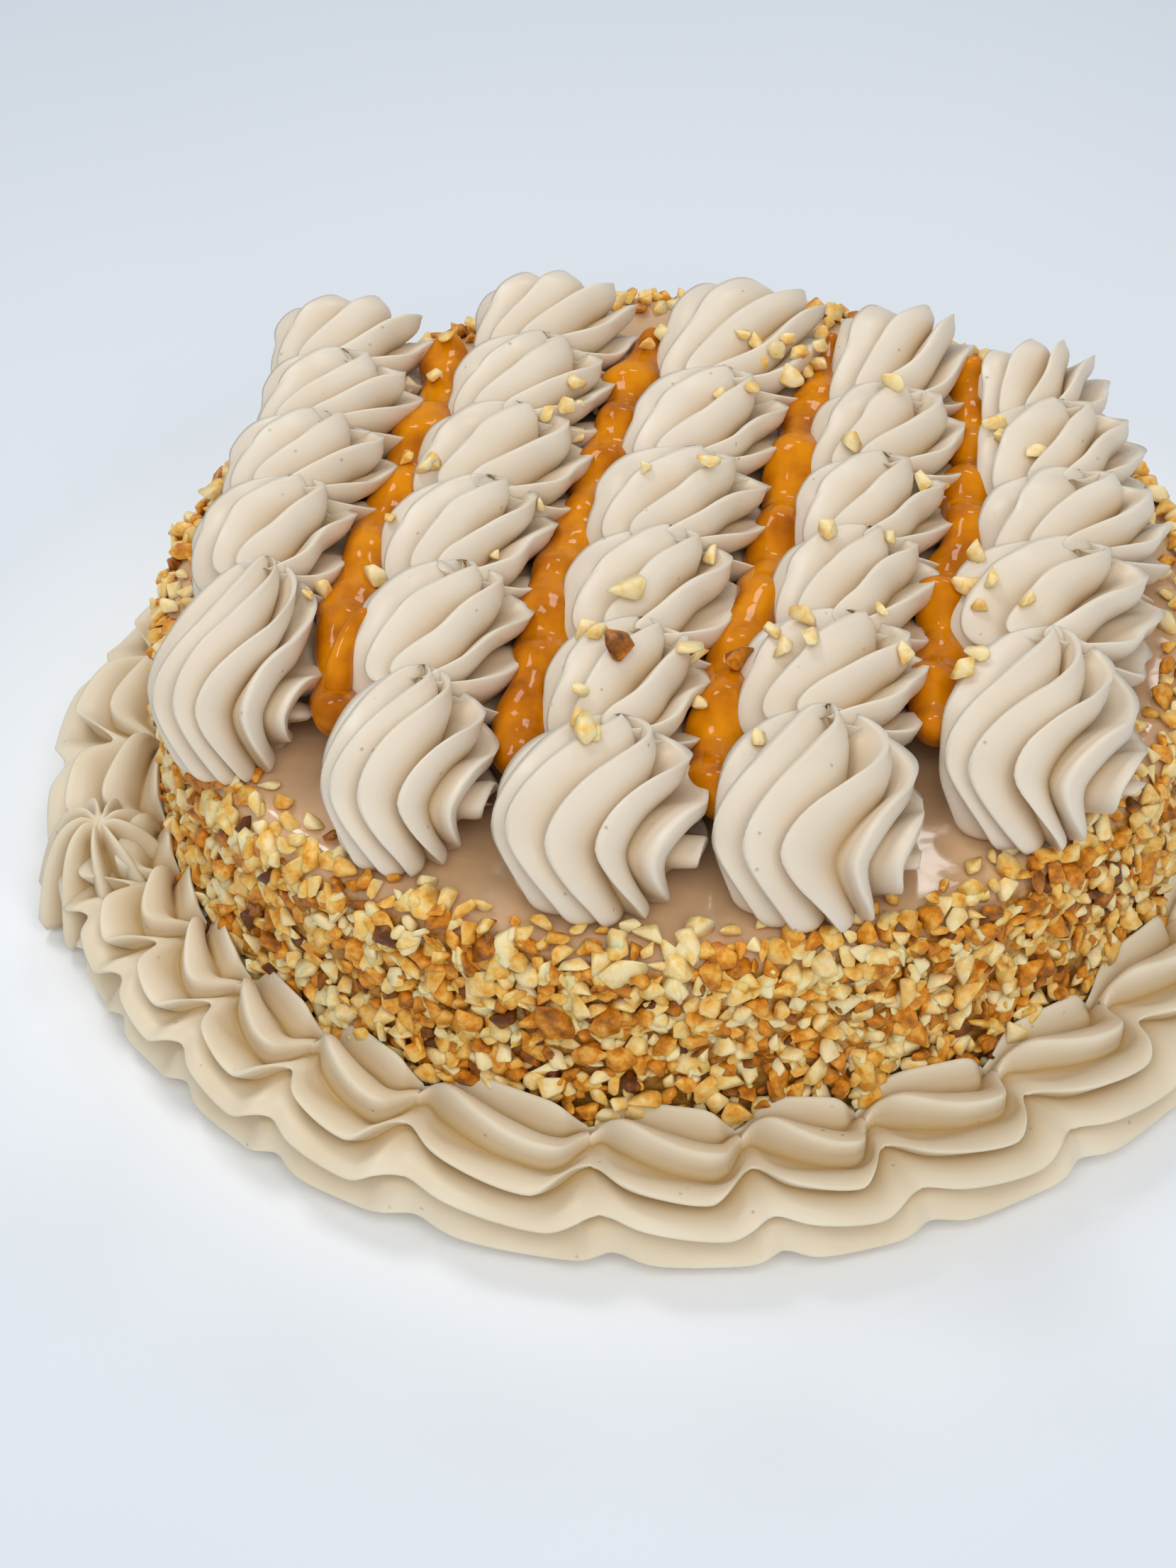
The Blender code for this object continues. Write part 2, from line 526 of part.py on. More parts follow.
class Border:
    """The foot border: shells piped end to end into one closed ring of ridged cream."""

    def __init__(self, rng):
        def vary(low, high):
            return np.array([rng.uniform(low, high) for _ in range(BORDER_SHELLS)])

        def vary_ridges(low, high):
            return np.array([[rng.uniform(low, high) for _ in range(BORDER_RIDGES)]
                             for _ in range(BORDER_SHELLS)])

        self.joints = border_joints(rng)
        self.size = vary(0.97, 1.03)
        self.droop = vary(0.85, 1.15)
        self.gain = vary_ridges(0.85, 1.15)
        self.shift = vary_ridges(-0.07, 0.07)

    def points(self, stations, across):
        """Grid of points around the whole ring: one row for each station of each shell."""
        k = np.repeat(np.arange(BORDER_SHELLS), len(stations))
        after = (k + 1) % BORDER_SHELLS
        s = np.tile(np.array(stations), BORDER_SHELLS)[:, None]
        blend = ease(s)
        ridge = np.repeat(np.arange(BORDER_RIDGES), len(across))[None, :]
        p = np.tile(np.array(across), BORDER_RIDGES)[None, :]
        size = self.size[k][:, None] * (1.0 - blend) + self.size[after][:, None] * blend
        gain = self.gain[k][:, ridge[0]] * (1.0 - blend) + self.gain[after][:, ridge[0]] * blend
        shift = self.shift[k][:, ridge[0]] * (1.0 - blend) + self.shift[after][:, ridge[0]] * blend
        base = TURN * (ridge + p - BORDER_LIP + shift) / BORDER_RIDGES + BORDER_TURN
        base = (base + math.pi) % TURN - math.pi
        psi = base + self.drift(base, s, self.droop[k][:, None])
        waist = np.exp(-np.minimum(s / 0.15, (1.0 - s) / 0.12) ** 2)
        fan = blunt(s / 0.30, 1.6) * (1.0 - 0.62 * np.clip((s - 0.30) / 0.70, 0.0, 1.0) ** 1.5)
        angle = psi + 0.10 * np.exp(-((p - BORDER_LIP) / 0.16) ** 2)
        sine, cosine = np.sin(angle), np.cos(angle)
        inner = sine < 0
        lean = 0.20 * ease((psi + 0.1) / 1.7) - 0.05 * ease(-psi)
        turn = self.angle_at(k[:, None] + s + lean)
        degrees = np.degrees(turn)
        narrow = ease((NARROW_FROM - degrees) / NARROW_BLEND) * ease((degrees - NARROW_TO) / NARROW_BLEND)
        path = BORDER_PATH_RADIUS - BORDER_JOINT_SHIFT * waist - 0.4 * NARROW_LOSS * narrow
        outward = BORDER_OUTWARD + BORDER_JOINT_SHIFT * waist - 0.6 * NARROW_LOSS * narrow
        reach = np.where(inner, path - BORDER_INNER_RADIUS + 1.0 * MM, outward)
        rise = np.where(cosine > 0, BORDER_RISE, BORDER_AXIS_HEIGHT)
        flatness = np.where(cosine > 0, np.where(inner, 0.46, 1.0), 2.0 / 3.4)
        loss = np.maximum(0.36 * np.exp(-(angle / 0.9) ** 2), 0.13 * ease((angle - 0.2) / 0.9))
        loss = np.where(inner, 0.40, loss)
        swell = 1.0 + 0.34 * fan * ease((-angle + 0.15) / 0.75)
        bare = ease((np.cos(psi) + 0.75) / 0.5)
        depth = 0.49 + 0.08 * np.exp(-((s - 0.12) / 0.09) ** 2) + 0.08 * np.exp(-((s - 0.80) / 0.12) ** 2)
        depth = FACET_RELIEF * depth * gain * bare * (1.0 - 0.45 * waist)
        rho = size * (1.0 - waist * loss) * (1.0 - depth * (1.0 - self.relief(p)))
        radius = path + reach * np.where(inner, sine * (1.35 - 0.35 * sine ** 2) * rho ** 0.5, sine * rho)
        radius = np.maximum(radius, BORDER_INNER_RADIUS)
        lift = rise * signed_power(cosine, flatness) * np.where(cosine > 0, rho * swell, 1.0)
        height = np.maximum(BORDER_AXIS_HEIGHT + lift, 0.0)
        return np.stack([radius * np.cos(turn), radius * np.sin(turn), height], axis=-1)

    def angle_at(self, place):
        """Angle around the cake for a place counted in shells, which can run past the last joint."""
        laps = np.floor(place / BORDER_SHELLS)
        steps = np.arange(BORDER_SHELLS + 1)
        return np.interp(place - laps * BORDER_SHELLS, steps, self.joints) + laps * TURN

    @staticmethod
    def relief(p):
        """0 in the crease, 1 on the lip: a hollow face that rises to the lip, then drops steeply."""
        rising = np.clip(p / BORDER_LIP, 0.0, 1.0)
        falling = np.clip((p - BORDER_LIP) / (1.0 - BORDER_LIP), 0.0, 1.0)
        face = 0.34 * rising + 0.66 * ease(rising ** 1.6)
        return np.where(p < BORDER_LIP, face, (1.0 - falling ** 1.6) ** 1.4)

    @staticmethod
    def drift(base, s, amount):
        """How far the ridges have sunk outward at s: a slow droop, then a quick return at the joint."""
        outward = ease((base - 0.05) / 0.50)
        swing = 0.50 - 0.10 * ease(base / 0.4) - 0.14 * ease((base - 0.6) / 0.5)
        t = (s - 0.10) % 1.0
        sinking = np.sin(0.5 * math.pi * np.minimum(t / 0.76, 1.0))
        quick = np.where(t < 0.76, sinking, 1.0 - ease((t - 0.76) / 0.24))
        t = (s + 0.07) % 1.0
        slow = np.where(t < 0.72, ease(t / 0.72), 1.0 - ease((t - 0.72) / 0.28))
        droop = quick + (slow - quick) * outward
        return swing * amount * (droop - 0.6 + 0.15 * ease(base / 0.4))


def make_border():
    points = Border(random.Random(SEED + 20)).points(BORDER_STATIONS, BORDER_ACROSS)
    count, columns = points.shape[0], points.shape[1]
    faces = []
    for i in range(count):
        a = i * columns
        b = ((i + 1) % count) * columns
        faces += [(a + j, a + (j + 1) % columns, b + (j + 1) % columns, b + j) for j in range(columns)]
    return mesh_object("base_border", points.reshape(-1, 3), faces)


def material(name, colour, roughness):
    surface = bpy.data.materials.new(name)
    surface.use_nodes = True
    shader = surface.node_tree.nodes["Principled BSDF"]
    shader.inputs["Base Color"].default_value = (*colour, 1.0)
    shader.inputs["Roughness"].default_value = roughness
    shader.inputs["Metallic"].default_value = 0.0
    return surface


def finish(obj, surface, parts, smooth):
    if obj.name not in parts.objects:
        parts.objects.link(obj)
    obj.data.materials.clear()
    obj.data.materials.append(surface)
    if smooth:
        obj.data.shade_smooth()
        obj.data.set_sharp_from_angle(angle=math.radians(35.0))


def main():
    for old in list(bpy.data.objects):
        bpy.data.objects.remove(old)
    parts = bpy.data.collections.new("hazelnut_dacquoise_cake")
    bpy.context.scene.collection.children.link(parts)
    rng = random.Random(SEED)
    cream = material("piped_cream", (0.74, 0.66, 0.55), 0.45)
    border_cream = material("border_cream", (0.68, 0.57, 0.43), 0.5)
    glaze = material("glaze_and_nuts", (0.72, 0.50, 0.26), 0.5)
    caramel = material("caramel", (0.62, 0.25, 0.02), 0.15)

    names = list(ROWS)
    trees = {}
    for name in names:
        row = make_row(rng, name, row_shells(name), parts)
        finish(row, cream, parts, True)
        trees[name] = surface_tree(row)
    for k, band in enumerate(CARAMEL_SPANS):
        left, right = names[k], names[k + 1]
        strip = make_caramel(rng, band, left, right, (trees[left], trees[right]))
        finish(strip, caramel, parts, True)
    finish(make_border(), border_cream, parts, True)
    finish(make_body(rng, parts), glaze, parts, False)


main()
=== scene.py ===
"""Looks of the hazelnut dacquoise cake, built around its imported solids.

Units are metres and +Z is up. The rows of shells run along Y, from the back (+Y) to the front (-Y).
"""
import itertools
import math
import random

import bpy
import bmesh
import numpy as np
from mathutils import Matrix, Quaternion, Vector
from mathutils.bvhtree import BVHTree


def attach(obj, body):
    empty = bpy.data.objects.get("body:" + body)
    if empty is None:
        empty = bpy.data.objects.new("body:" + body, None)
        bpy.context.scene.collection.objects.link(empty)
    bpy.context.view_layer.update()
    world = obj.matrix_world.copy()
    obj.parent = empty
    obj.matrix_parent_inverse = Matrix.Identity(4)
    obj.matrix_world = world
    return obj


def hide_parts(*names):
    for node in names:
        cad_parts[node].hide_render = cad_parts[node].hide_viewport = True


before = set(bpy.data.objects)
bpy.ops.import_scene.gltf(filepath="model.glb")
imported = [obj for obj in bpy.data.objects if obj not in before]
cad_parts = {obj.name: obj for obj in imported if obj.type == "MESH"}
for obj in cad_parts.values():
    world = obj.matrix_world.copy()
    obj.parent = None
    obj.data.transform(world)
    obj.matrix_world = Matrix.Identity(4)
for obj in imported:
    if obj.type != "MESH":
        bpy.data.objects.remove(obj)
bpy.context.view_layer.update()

MM = 0.001
TURN = 2.0 * math.pi
SEED = 7

# Cake body
CAKE_TOP = 51.5 * MM
GLAZE_RADIUS = 96.0 * MM
SHOULDER_RADIUS = 5.5 * MM
GAP = 0.3 * MM
GLAZE_COLUMNS = 288
GLAZE_TOP_RINGS = 24
GLAZE_SHOULDER_RINGS = 12
GLAZE_WALL_RINGS = 22
GLAZE_WAVES = 6

# Rows of shells, left to right: the joints between shells from front to back, in millimetres
ROWS = {
    "swirl_row_1": [(-67, -67.5), (-69, -29.5), (-71, -5.5), (-72, 14.5), (-73.5, 34.5), (-76, 56.5)],
    "swirl_row_2": [(-32, -83.5), (-34, -52.5), (-34.5, -23.5), (-36, 1.5), (-36.5, 24.5), (-37, 47.5),
                    (-38, 72.5)],
    "swirl_row_3": [(2.5, -88), (2, -58), (0, -32.5), (-0.5, -6.5), (-1, 17.5), (-0.5, 43.5), (1.5, 80)],
    "swirl_row_4": [(37, -82.5), (35.5, -48.5), (35, -23.5), (34.5, 0.5), (33.5, 22.5), (32, 44.5), (30, 77)],
    "swirl_row_5": [(68.5, -56.5), (70, -20.5), (71, 4.5), (67.5, 24.5), (62, 45.5), (55, 68)],
}
# The middle x and the width of each shell, in the same order
SHELL_SIZES = {
    "swirl_row_1": [(-68.5, 30.5), (-72.5, 31.5), (-71.5, 34), (-71.5, 33.5), (-75.5, 33)],
    "swirl_row_2": [(-32, 31), (-35.5, 34), (-38, 33.5), (-37, 36), (-37, 33.5), (-37.5, 34.5)],
    "swirl_row_3": [(2.5, 39), (-0.5, 30.5), (-1.5, 34.5), (-1.5, 36), (-1.5, 33.5), (0, 36)],
    "swirl_row_4": [(38.5, 40), (34.5, 35.5), (34, 32), (33.5, 31.5), (33.5, 33.5), (31, 32)],
    "swirl_row_5": [(71, 37.5), (68, 39.5), (70, 37), (64, 36), (58, 29.5)],
}
# The valleys' clearance grows from the front value to the row value behind the front shells
ROW_CLEARANCE = 1.0 * MM
FRONT_CLEARANCE = 0.2 * MM
CLEARANCE_FROM = -72.0 * MM
CLEARANCE_BLEND = 14.0 * MM
CLEARANCE_ROUNDING = 1.0 * MM
# The foot of a front shell rolls outward over the last part of its run
FRONT_REACH = 3.0 * MM
FOOT_ROLL = 3.2 * MM
FOOT_FROM = 0.86
SHELL_HEIGHT = 22.0 * MM
JOINT_HEIGHT = 19.6 * MM
FIRST_JOINT_HEIGHT = 9.0 * MM
SHELL_OVERLAP = 2.2 * MM
TAIL_DROP = 1.0 * MM
FAN_LEAN = 1.5 * MM
# How square the cream's sections are: above their middle and below it
ROUNDNESS_ABOVE = 2.15
ROUNDNESS_BELOW = 3.4
SHELL_RIDGES = 10
SHELL_STEPS = 50
ROW_ACROSS = (0.0, 0.025, 0.07, 0.15, 0.26, 0.39, 0.52, 0.63, 0.72, 0.79, 0.85, 0.92)

# Base border: the angles in degrees of the joints that show at the front and on the left
FRONT_JOINTS = (-154.0, -146.0, -137.5, -127.9, -116.4, -103.9, -86.4, -72.2, -60.3)
BORDER_SHELLS = 27
BORDER_RIDGES = 9
BORDER_TURN = -0.27
BORDER_JOINT_SHIFT = 5.0 * MM
BORDER_PATH_RADIUS = 110.3 * MM
BORDER_AXIS_HEIGHT = 9.0 * MM
BORDER_RISE = 10.6 * MM
BORDER_OUTWARD = 11.6 * MM
BORDER_INNER_RADIUS = 98.4 * MM
# The border is narrower at the back left, between these angles in degrees
NARROW_FROM = 188.0
NARROW_TO = 110.0
NARROW_BLEND = 26.0
NARROW_LOSS = 9.0 * MM
BORDER_LIP = 0.80
BORDER_STEPS = 36
BORDER_ACROSS = (0.0, 0.10, 0.22, 0.35, 0.48, 0.60, 0.70, 0.76, 0.80, 0.85, 0.92)

# The star where the border was begun and closed
STAR_ANGLE = math.radians(-151.5)
STAR_RADIUS = 112.0 * MM
STAR_TOP = 24.5 * MM
STAR_SIZE = (14.6 * MM, 15.2 * MM)
STAR_FOOT = 4.0 * MM
STAR_DIMPLE = 1.6 * MM
STAR_GROOVE = 5.0 * MM
STAR_TWIST = 0.45
STAR_LIP = 0.60
STAR_STEPS = 24
STAR_RIDGES = 9
STAR_ACROSS = (0.0, 0.10, 0.24, 0.40, 0.54, 0.64, 0.74, 0.87)

# Chopped nuts: the kinds of piece, each about 1 across, their corners and their worn edges
CHIP_KINDS = 26
CHIP_CORNERS = (7, 8)
CHIP_CORNERS_APART = 0.34
CHIP_EDGE = 0.055
# Sizes in millimetres: the mean, the smallest and the largest
WALL_NUT_SIZE = (4.9, 3.0, 7.2)
SHOULDER_NUT_SIZE = (5.1, 3.2, 7.4)
RIM_NUT_SIZE = (4.8, 3.2, 7.2)
# Layers of pieces: how many, and how far apart their middles are at least
WALL_NUTS = ((2500, 2.3 * MM), (1750, 2.6 * MM), (850, 3.0 * MM))
SHOULDER_NUTS = (700, 2.8 * MM)
RIM_NUTS = (230, 3.6 * MM)
# Lowest middle of a piece on the wall, and where the coat grows thicker toward the foot
WALL_NUTS_FROM = 4.6 * MM
THICKER_BELOW = 26.0 * MM
THICKER_BLEND = 6.0 * MM
THICKER_BY = 1.2 * MM
# Toast of the pieces: how it leans to pale, the share that is dark, and how much of it the top ones have
TOAST_LEAN = 1.45
DARK_SHARE = 0.07
PALE_TOAST = 0.70

# Caramel between the rows: front end and back end of each band, along Y in millimetres
CARAMEL_BANDS = {
    "caramel_band_1": (-62, 53),
    "caramel_band_2": (-64, 64),
    "caramel_band_3": (-68, 69),
    "caramel_band_4": (-43, 63),
}
CARAMEL_TOP = 13.6 * MM
# Above and below the middle of a band's section
CARAMEL_RISE = 4.4 * MM
CARAMEL_DEPTH = 5.0 * MM
# In millimetres: half the width, and what the shells' waists and the lumps add to it
CARAMEL_HALF = 4.4
CARAMEL_SPILL = 1.6
CARAMEL_BULGE = 0.7
# In millimetres: how much the lumps raise the top, and the waists lower it
CARAMEL_LUMP = 2.4
CARAMEL_SAG = 1.0
WAIST_REACH = 4.0
FRONT_DIP = 3.0
FIRST_BAND_LEAN = 2.4 * MM
CARAMEL_STEPS = 120
CARAMEL_COLUMNS = 28
# A drop on the second row's flank, as x, y, z of its spine in millimetres
CARAMEL_DROP = ((-48.2, -36.2, 67.8), (-50.1, -39.9, 67.0), (-50.6, -45.0, 66.2), (-50.2, -50.0, 64.6),
                (-49.2, -54.5, 61.5))
DROP_THICKNESS = 2.5 * MM
DROP_STEPS = 24
DROP_COLUMNS = 20

# The photograph's camera
IMAGE = (1659, 2212)
CAMERA_YAW = math.radians(14.14)
CAMERA_PITCH = math.radians(42.78)
CAMERA_ROLL = math.radians(-1.63)
CAMERA_TARGET = Vector((-0.01175, -0.0275, 0.025))
CAMERA_DISTANCE = 0.596
CAMERA_LENS = 74.0
SENSOR = 36.0


def ease(x):
    """Smooth step from 0 to 1."""
    x = np.clip(x, 0.0, 1.0)
    return x * x * (3.0 - 2.0 * x)


def blunt(x, power):
    """A rounded end: 0 at x = 0 with a steep start, 1 at x = 1."""
    x = np.clip(x, 0.0, 1.0)
    return (1.0 - (1.0 - x) ** power) ** (1.0 / power)


def signed_power(value, power):
    return np.sign(value) * np.abs(value) ** power


def ridge_height(p, hollow, lip):
    """Relief across one ridge: 0 in the crease, 1 on the lip at p = lip."""
    rising = np.clip(p / lip, 0.0, 1.0)
    falling = np.clip((p - lip) / (1.0 - lip), 0.0, 1.0)
    full = (1.0 - (1.0 - rising) ** 2.2) * (0.60 + 0.40 * rising)
    rise = hollow * rising ** 1.6 + (1.0 - hollow) * full
    return rise * (1.0 - falling ** 1.8)


def painted_crease_shade(p, lip):
    """How much shade is painted on a ridge at p: 1 in the crease, 0 on the lip."""
    rising = np.clip(1.0 - p / lip, 0.0, 1.0)
    falling = np.clip((p - lip) / (1.0 - lip), 0.0, 1.0)
    return np.where(p < lip, rising ** 1.3, falling ** 1.5)


class Shell:
    """One piped shell, from its head at the back to its tail at the front."""

    def __init__(self, rng, back, front, middle, width, is_front, is_back):
        run = np.array(front) - np.array(back)
        self.is_front = is_front
        self.start = np.array(back) * MM
        self.travel = run / np.hypot(*run)
        self.side = np.array([self.travel[1], -self.travel[0]])
        self.length = float(np.hypot(*run)) * MM + (FRONT_REACH if is_front else SHELL_OVERLAP)
        self.bulge = (middle - 0.5 * (back[0] + front[0])) * MM
        self.width = width * MM
        self.height = SHELL_HEIGHT * rng.uniform(0.97, 1.04)
        self.head = FIRST_JOINT_HEIGHT if is_back else JOINT_HEIGHT
        self.tail = JOINT_HEIGHT - TAIL_DROP
        self.swing = rng.uniform(0.9, 1.1)
        self.phase = rng.random()
        self.wobble = rng.random()
        self.gains = np.array([rng.uniform(0.8, 1.15) for _ in range(SHELL_RIDGES)])
        self.shares = np.array([rng.uniform(0.82, 1.18) for _ in range(SHELL_RIDGES)])
        self.painted_shade = None

    def section(self, s):
        """Half width, top, bottom and centre height of the section at s."""
        pole = self.head + (self.tail - self.head) * s
        if self.is_front:
            wide = np.where(s < 0.34, blunt(s / 0.34, 2.8), 1.0 - 0.34 * ease((s - 0.46) / 0.54))
            tall = np.where(s < 0.30, blunt(s / 0.30, 1.7), 1.0)
            low = blunt(s / 0.26, 4.5)
        else:
            wide = np.where(s < 0.36, blunt(s / 0.36, 2.8), 1.0 - 0.06 * ease((s - 0.36) / 0.2))
            wide = np.where(s < 0.55, wide, 0.94 * blunt((1.0 - s) / 0.45, 3.6))
            tall = np.where(s < 0.38, blunt(s / 0.38, 1.7), blunt((1.0 - s) / 0.62, 1.7))
            low = np.where(s < 0.5, blunt(s / 0.5, 4.5), blunt((1.0 - s) / 0.5, 4.5))
        top = pole + (self.height - pole) * tall
        bottom = pole * (1.0 - low)
        centre = bottom + 0.42 * (top - bottom)
        return 0.5 * self.width * wide, top, bottom, centre

    def drift(self, s):
        """How far the ridges have turned at s, away from where they are half way."""
        if self.is_front:
            turn = -0.45 + 0.95 * ease(s / 0.62) - 0.75 * ease((s - 0.58) / 0.38)
        else:
            turn = -0.55 + 1.15 * s + 0.25 * s ** 6
        return self.swing * turn

    def points(self, stations, across):
        """Grid of points: one row for each station, one column for each place around."""
        s = np.array(stations)[:, None]
        ridge = np.repeat(np.arange(SHELL_RIDGES), len(across))[None, :]
        p = np.tile(np.array(across), SHELL_RIDGES)[None, :]
        edges = np.concatenate([[0.0], np.cumsum(self.shares)]) / self.shares.sum()
        around = edges[ridge] + p * (edges[ridge + 1] - edges[ridge])
        half, top, bottom, centre = self.section(s)
        if self.is_front:
            half = half * (1.0 - 0.16 * ease((s - FOOT_FROM) / (1.0 - FOOT_FROM)))
        turned = TURN * (around - self.phase / SHELL_RIDGES)
        psi = turned - (0.30 if self.is_front else 0.06) * np.sin(turned) + self.drift(s)
        psi = psi + 0.05 * np.sin(TURN * (1.1 * s + self.wobble + 0.37 * ridge))
        hollow = 1.0 - 0.66 * ease((s - 0.06) / 0.30)
        lip = 0.86 - 0.10 * ease((s - 0.25) / 0.6)
        end = ease((s - 0.78) / 0.22)
        relief = ridge_height(p, 0.95 * hollow + (0.0 if self.is_front else 0.35) * end, lip)
        # Painted shade: the cream's colour turns darker and warmer from each lip down into the crease.
        self.painted_shade = painted_crease_shade(p, lip)
        bare = ease((np.cos(psi) + 0.95) / 0.5)
        if self.is_front:
            bare = np.maximum(bare, ease((s - 0.5) / 0.4))
        depth = 0.46 + 0.24 * np.exp(-(s / 0.19) ** 2) + (-0.20 if self.is_front else 0.06) * end
        depth = depth * self.gains[ridge] * bare
        rho = 1.0 - depth * (1.0 - relief)
        lean = (0.12 - 0.05 * ease((s - 0.3) / 0.5)) * np.exp(-((p - lip) / 0.18) ** 2) * bare
        sine, cosine = np.sin(psi + lean), np.cos(psi + lean)
        flatness = np.where(cosine > 0, 2.0 / ROUNDNESS_ABOVE, 2.0 / ROUNDNESS_BELOW)
        side = half * signed_power(sine, flatness) * rho
        rise = np.where(cosine > 0, top - centre, centre - bottom) * signed_power(cosine, flatness) * rho
        if self.is_front:
            along, height = self.bend_down(s, centre, rise)
        else:
            along, height = self.length * s + 0.0 * side, centre + rise
        fan = np.exp(-((s - 0.16) / 0.10) ** 2) * ease((np.cos(psi) + 0.4) / 1.2) * (relief - 0.4)
        along = along - FAN_LEAN * fan
        x = self.start[0] + along * self.travel[0] + side * self.side[0] + self.bulge * np.sin(math.pi * s)
        y = self.start[1] + along * self.travel[1] + side * self.side[1]
        return np.stack([x, y, CAKE_TOP + GAP + np.maximum(height, 0.0)], axis=-1)

    def bend_down(self, s, centre, rise):
        """The front shell turns down onto the cake, so its sections tip forward."""
        flat = 0.26
        tip = 0.5 * math.pi * np.clip((s - flat) / (FOOT_FROM - flat), 0.0, 1.0)
        roll = 0.5 * math.pi * np.clip((s - FOOT_FROM) / (1.0 - FOOT_FROM), 0.0, 1.0)
        axis = 0.42 * self.height
        straight = self.length - axis - 0.50 * self.height
        along = np.where(s < flat, straight * s / flat, straight + axis * np.sin(tip))
        shrink = 1.0 - 0.14 * ease((s - 0.6) / 0.4) - 0.22 * (1.0 - np.cos(roll))
        foot = FOOT_ROLL * np.sin(tip) ** 2 * (1.0 - np.sin(roll))
        height = np.where(s < flat, centre, axis * np.cos(tip)) + rise * np.cos(tip) + foot
        return along + rise * np.sin(tip) * shrink, height


def row_shells(name):
    """The shells of one row, from the front one to the back one."""
    rng = random.Random(SEED + list(ROWS).index(name))
    joints = ROWS[name]
    last = len(joints) - 2
    shells = []
    for k, (middle, width) in enumerate(SHELL_SIZES[name]):
        shells.append(Shell(rng, joints[k + 1], joints[k], middle, width, k == 0, k == last))
    return shells


def row_edge(name, y, direction):
    """X of one edge of a row at y: direction -1 for its left edge and 1 for its right edge."""
    joints = ROWS[name]
    ys = [0.5 * (a[1] + b[1]) * MM for a, b in zip(joints, joints[1:])]
    xs = [(middle + 0.5 * direction * width) * MM for middle, width in SHELL_SIZES[name]]
    return np.interp(y, ys, xs)


def valley(left, right, y):
    """X of the middle of the valley between two rows at y."""
    return 0.5 * (row_edge(left, y, 1) + row_edge(right, y, -1))


def keep_between_rows(name, points):
    """Each row stays on its own side of the valleys beside it, which open up behind the front shells."""
    names = list(ROWS)
    index = names.index(name)
    x, y = points[..., 0], points[..., 1]
    spare = FRONT_CLEARANCE + (ROW_CLEARANCE - FRONT_CLEARANCE) * ease((y - CLEARANCE_FROM) / CLEARANCE_BLEND)
    if index > 0:
        low = valley(names[index - 1], name, y) + spare
        x = low + 0.5 * (x - low + np.hypot(x - low, CLEARANCE_ROUNDING))
    if index < len(names) - 1:
        high = valley(name, names[index + 1], y) - spare
        x = high - 0.5 * (high - x + np.hypot(high - x, CLEARANCE_ROUNDING))
    points[..., 0] = x
    return points


def loft(points, closed_run):
    """Faces over a grid of points that closes around each row.

    The rows either close into a ring, or their first and last row each shrink to one point.
    """
    rows, columns = points.shape[:2]
    j = np.arange(columns)
    k = (j + 1) % columns

    def quads(a, b):
        return np.stack([a + j, a + k, b + k, b + j], axis=-1).reshape(-1, 4).tolist()

    if closed_run:
        first = (np.arange(rows) * columns)[:, None]
        return points.reshape(-1, 3), quads(first, np.roll(first, -1, axis=0))
    inner = points[1:-1].reshape(-1, 3)
    verts = np.concatenate([points[0].mean(axis=0)[None], inner, points[-1].mean(axis=0)[None]])
    first = (1 + np.arange(rows - 3) * columns)[:, None]
    last = 1 + (rows - 3) * columns
    start = [(0, 1 + int(k[i]), 1 + i) for i in range(columns)]
    end = [(last + i, last + int(k[i]), len(verts) - 1) for i in range(columns)]
    return verts, start + quads(first, first + columns) + end


def joined(parts):
    """One list of vertices and one of faces, from several."""
    verts = []
    faces = []
    count = 0
    for part_verts, part_faces in parts:
        verts.append(part_verts)
        faces += [tuple(i + count for i in face) for face in part_faces]
        count += len(part_verts)
    return np.concatenate(verts), faces


def add_object(name, verts, faces, surface):
    mesh = bpy.data.meshes.new(name)
    mesh.from_pydata(np.asarray(verts).tolist(), [], faces)
    mesh.update()
    mesh.shade_smooth()
    mesh.materials.append(surface)
    obj = bpy.data.objects.new(name, mesh)
    bpy.context.scene.collection.objects.link(obj)
    return obj


def face_outward(obj):
    edit = bmesh.new()
    edit.from_mesh(obj.data)
    bmesh.ops.recalc_face_normals(edit, faces=edit.faces)
    edit.to_mesh(obj.data)
    edit.free()


def shell_stations(steps):
    """Stations from 0 to 1, closer together at both ends."""
    t = np.linspace(0.0, 1.0, steps + 1)
    return 0.5 * (1.0 - np.cos(math.pi * t))


def add_painted_shade(obj, painted_shade):
    """Keeps how much shade is painted on each vertex, most in the creases, for the cream's colour."""
    layer = obj.data.attributes.new("crease", "FLOAT", "POINT")
    layer.data.foreach_set("value", np.asarray(painted_shade, dtype=np.float32).ravel())


def make_row(name, surface):
    parts = []
    painted_shade = []
    for shell in row_shells(name):
        points = keep_between_rows(name, shell.points(shell_stations(SHELL_STEPS), ROW_ACROSS))
        parts.append(loft(points, False))
        painted_shade += [[1.0], shell.painted_shade[1:-1].ravel(), [1.0]]
    verts, faces = joined(parts)
    obj = add_object("cream_" + name, verts, faces, surface)
    add_painted_shade(obj, np.concatenate(painted_shade))
    face_outward(obj)
    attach(obj, "root")
    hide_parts(name)
    return obj


def border_joints(rng):
    """Angles of the joints between the border's shells, in radians, one more than there are shells."""
    known = [math.radians(a) for a in FRONT_JOINTS]
    rest = BORDER_SHELLS - len(known) + 1
    step = (known[0] + TURN - known[-1]) / rest
    others = [known[-1] + step * (k + rng.uniform(-0.07, 0.07)) for k in range(1, rest)]
    return np.array(known + others + [known[0] + TURN])


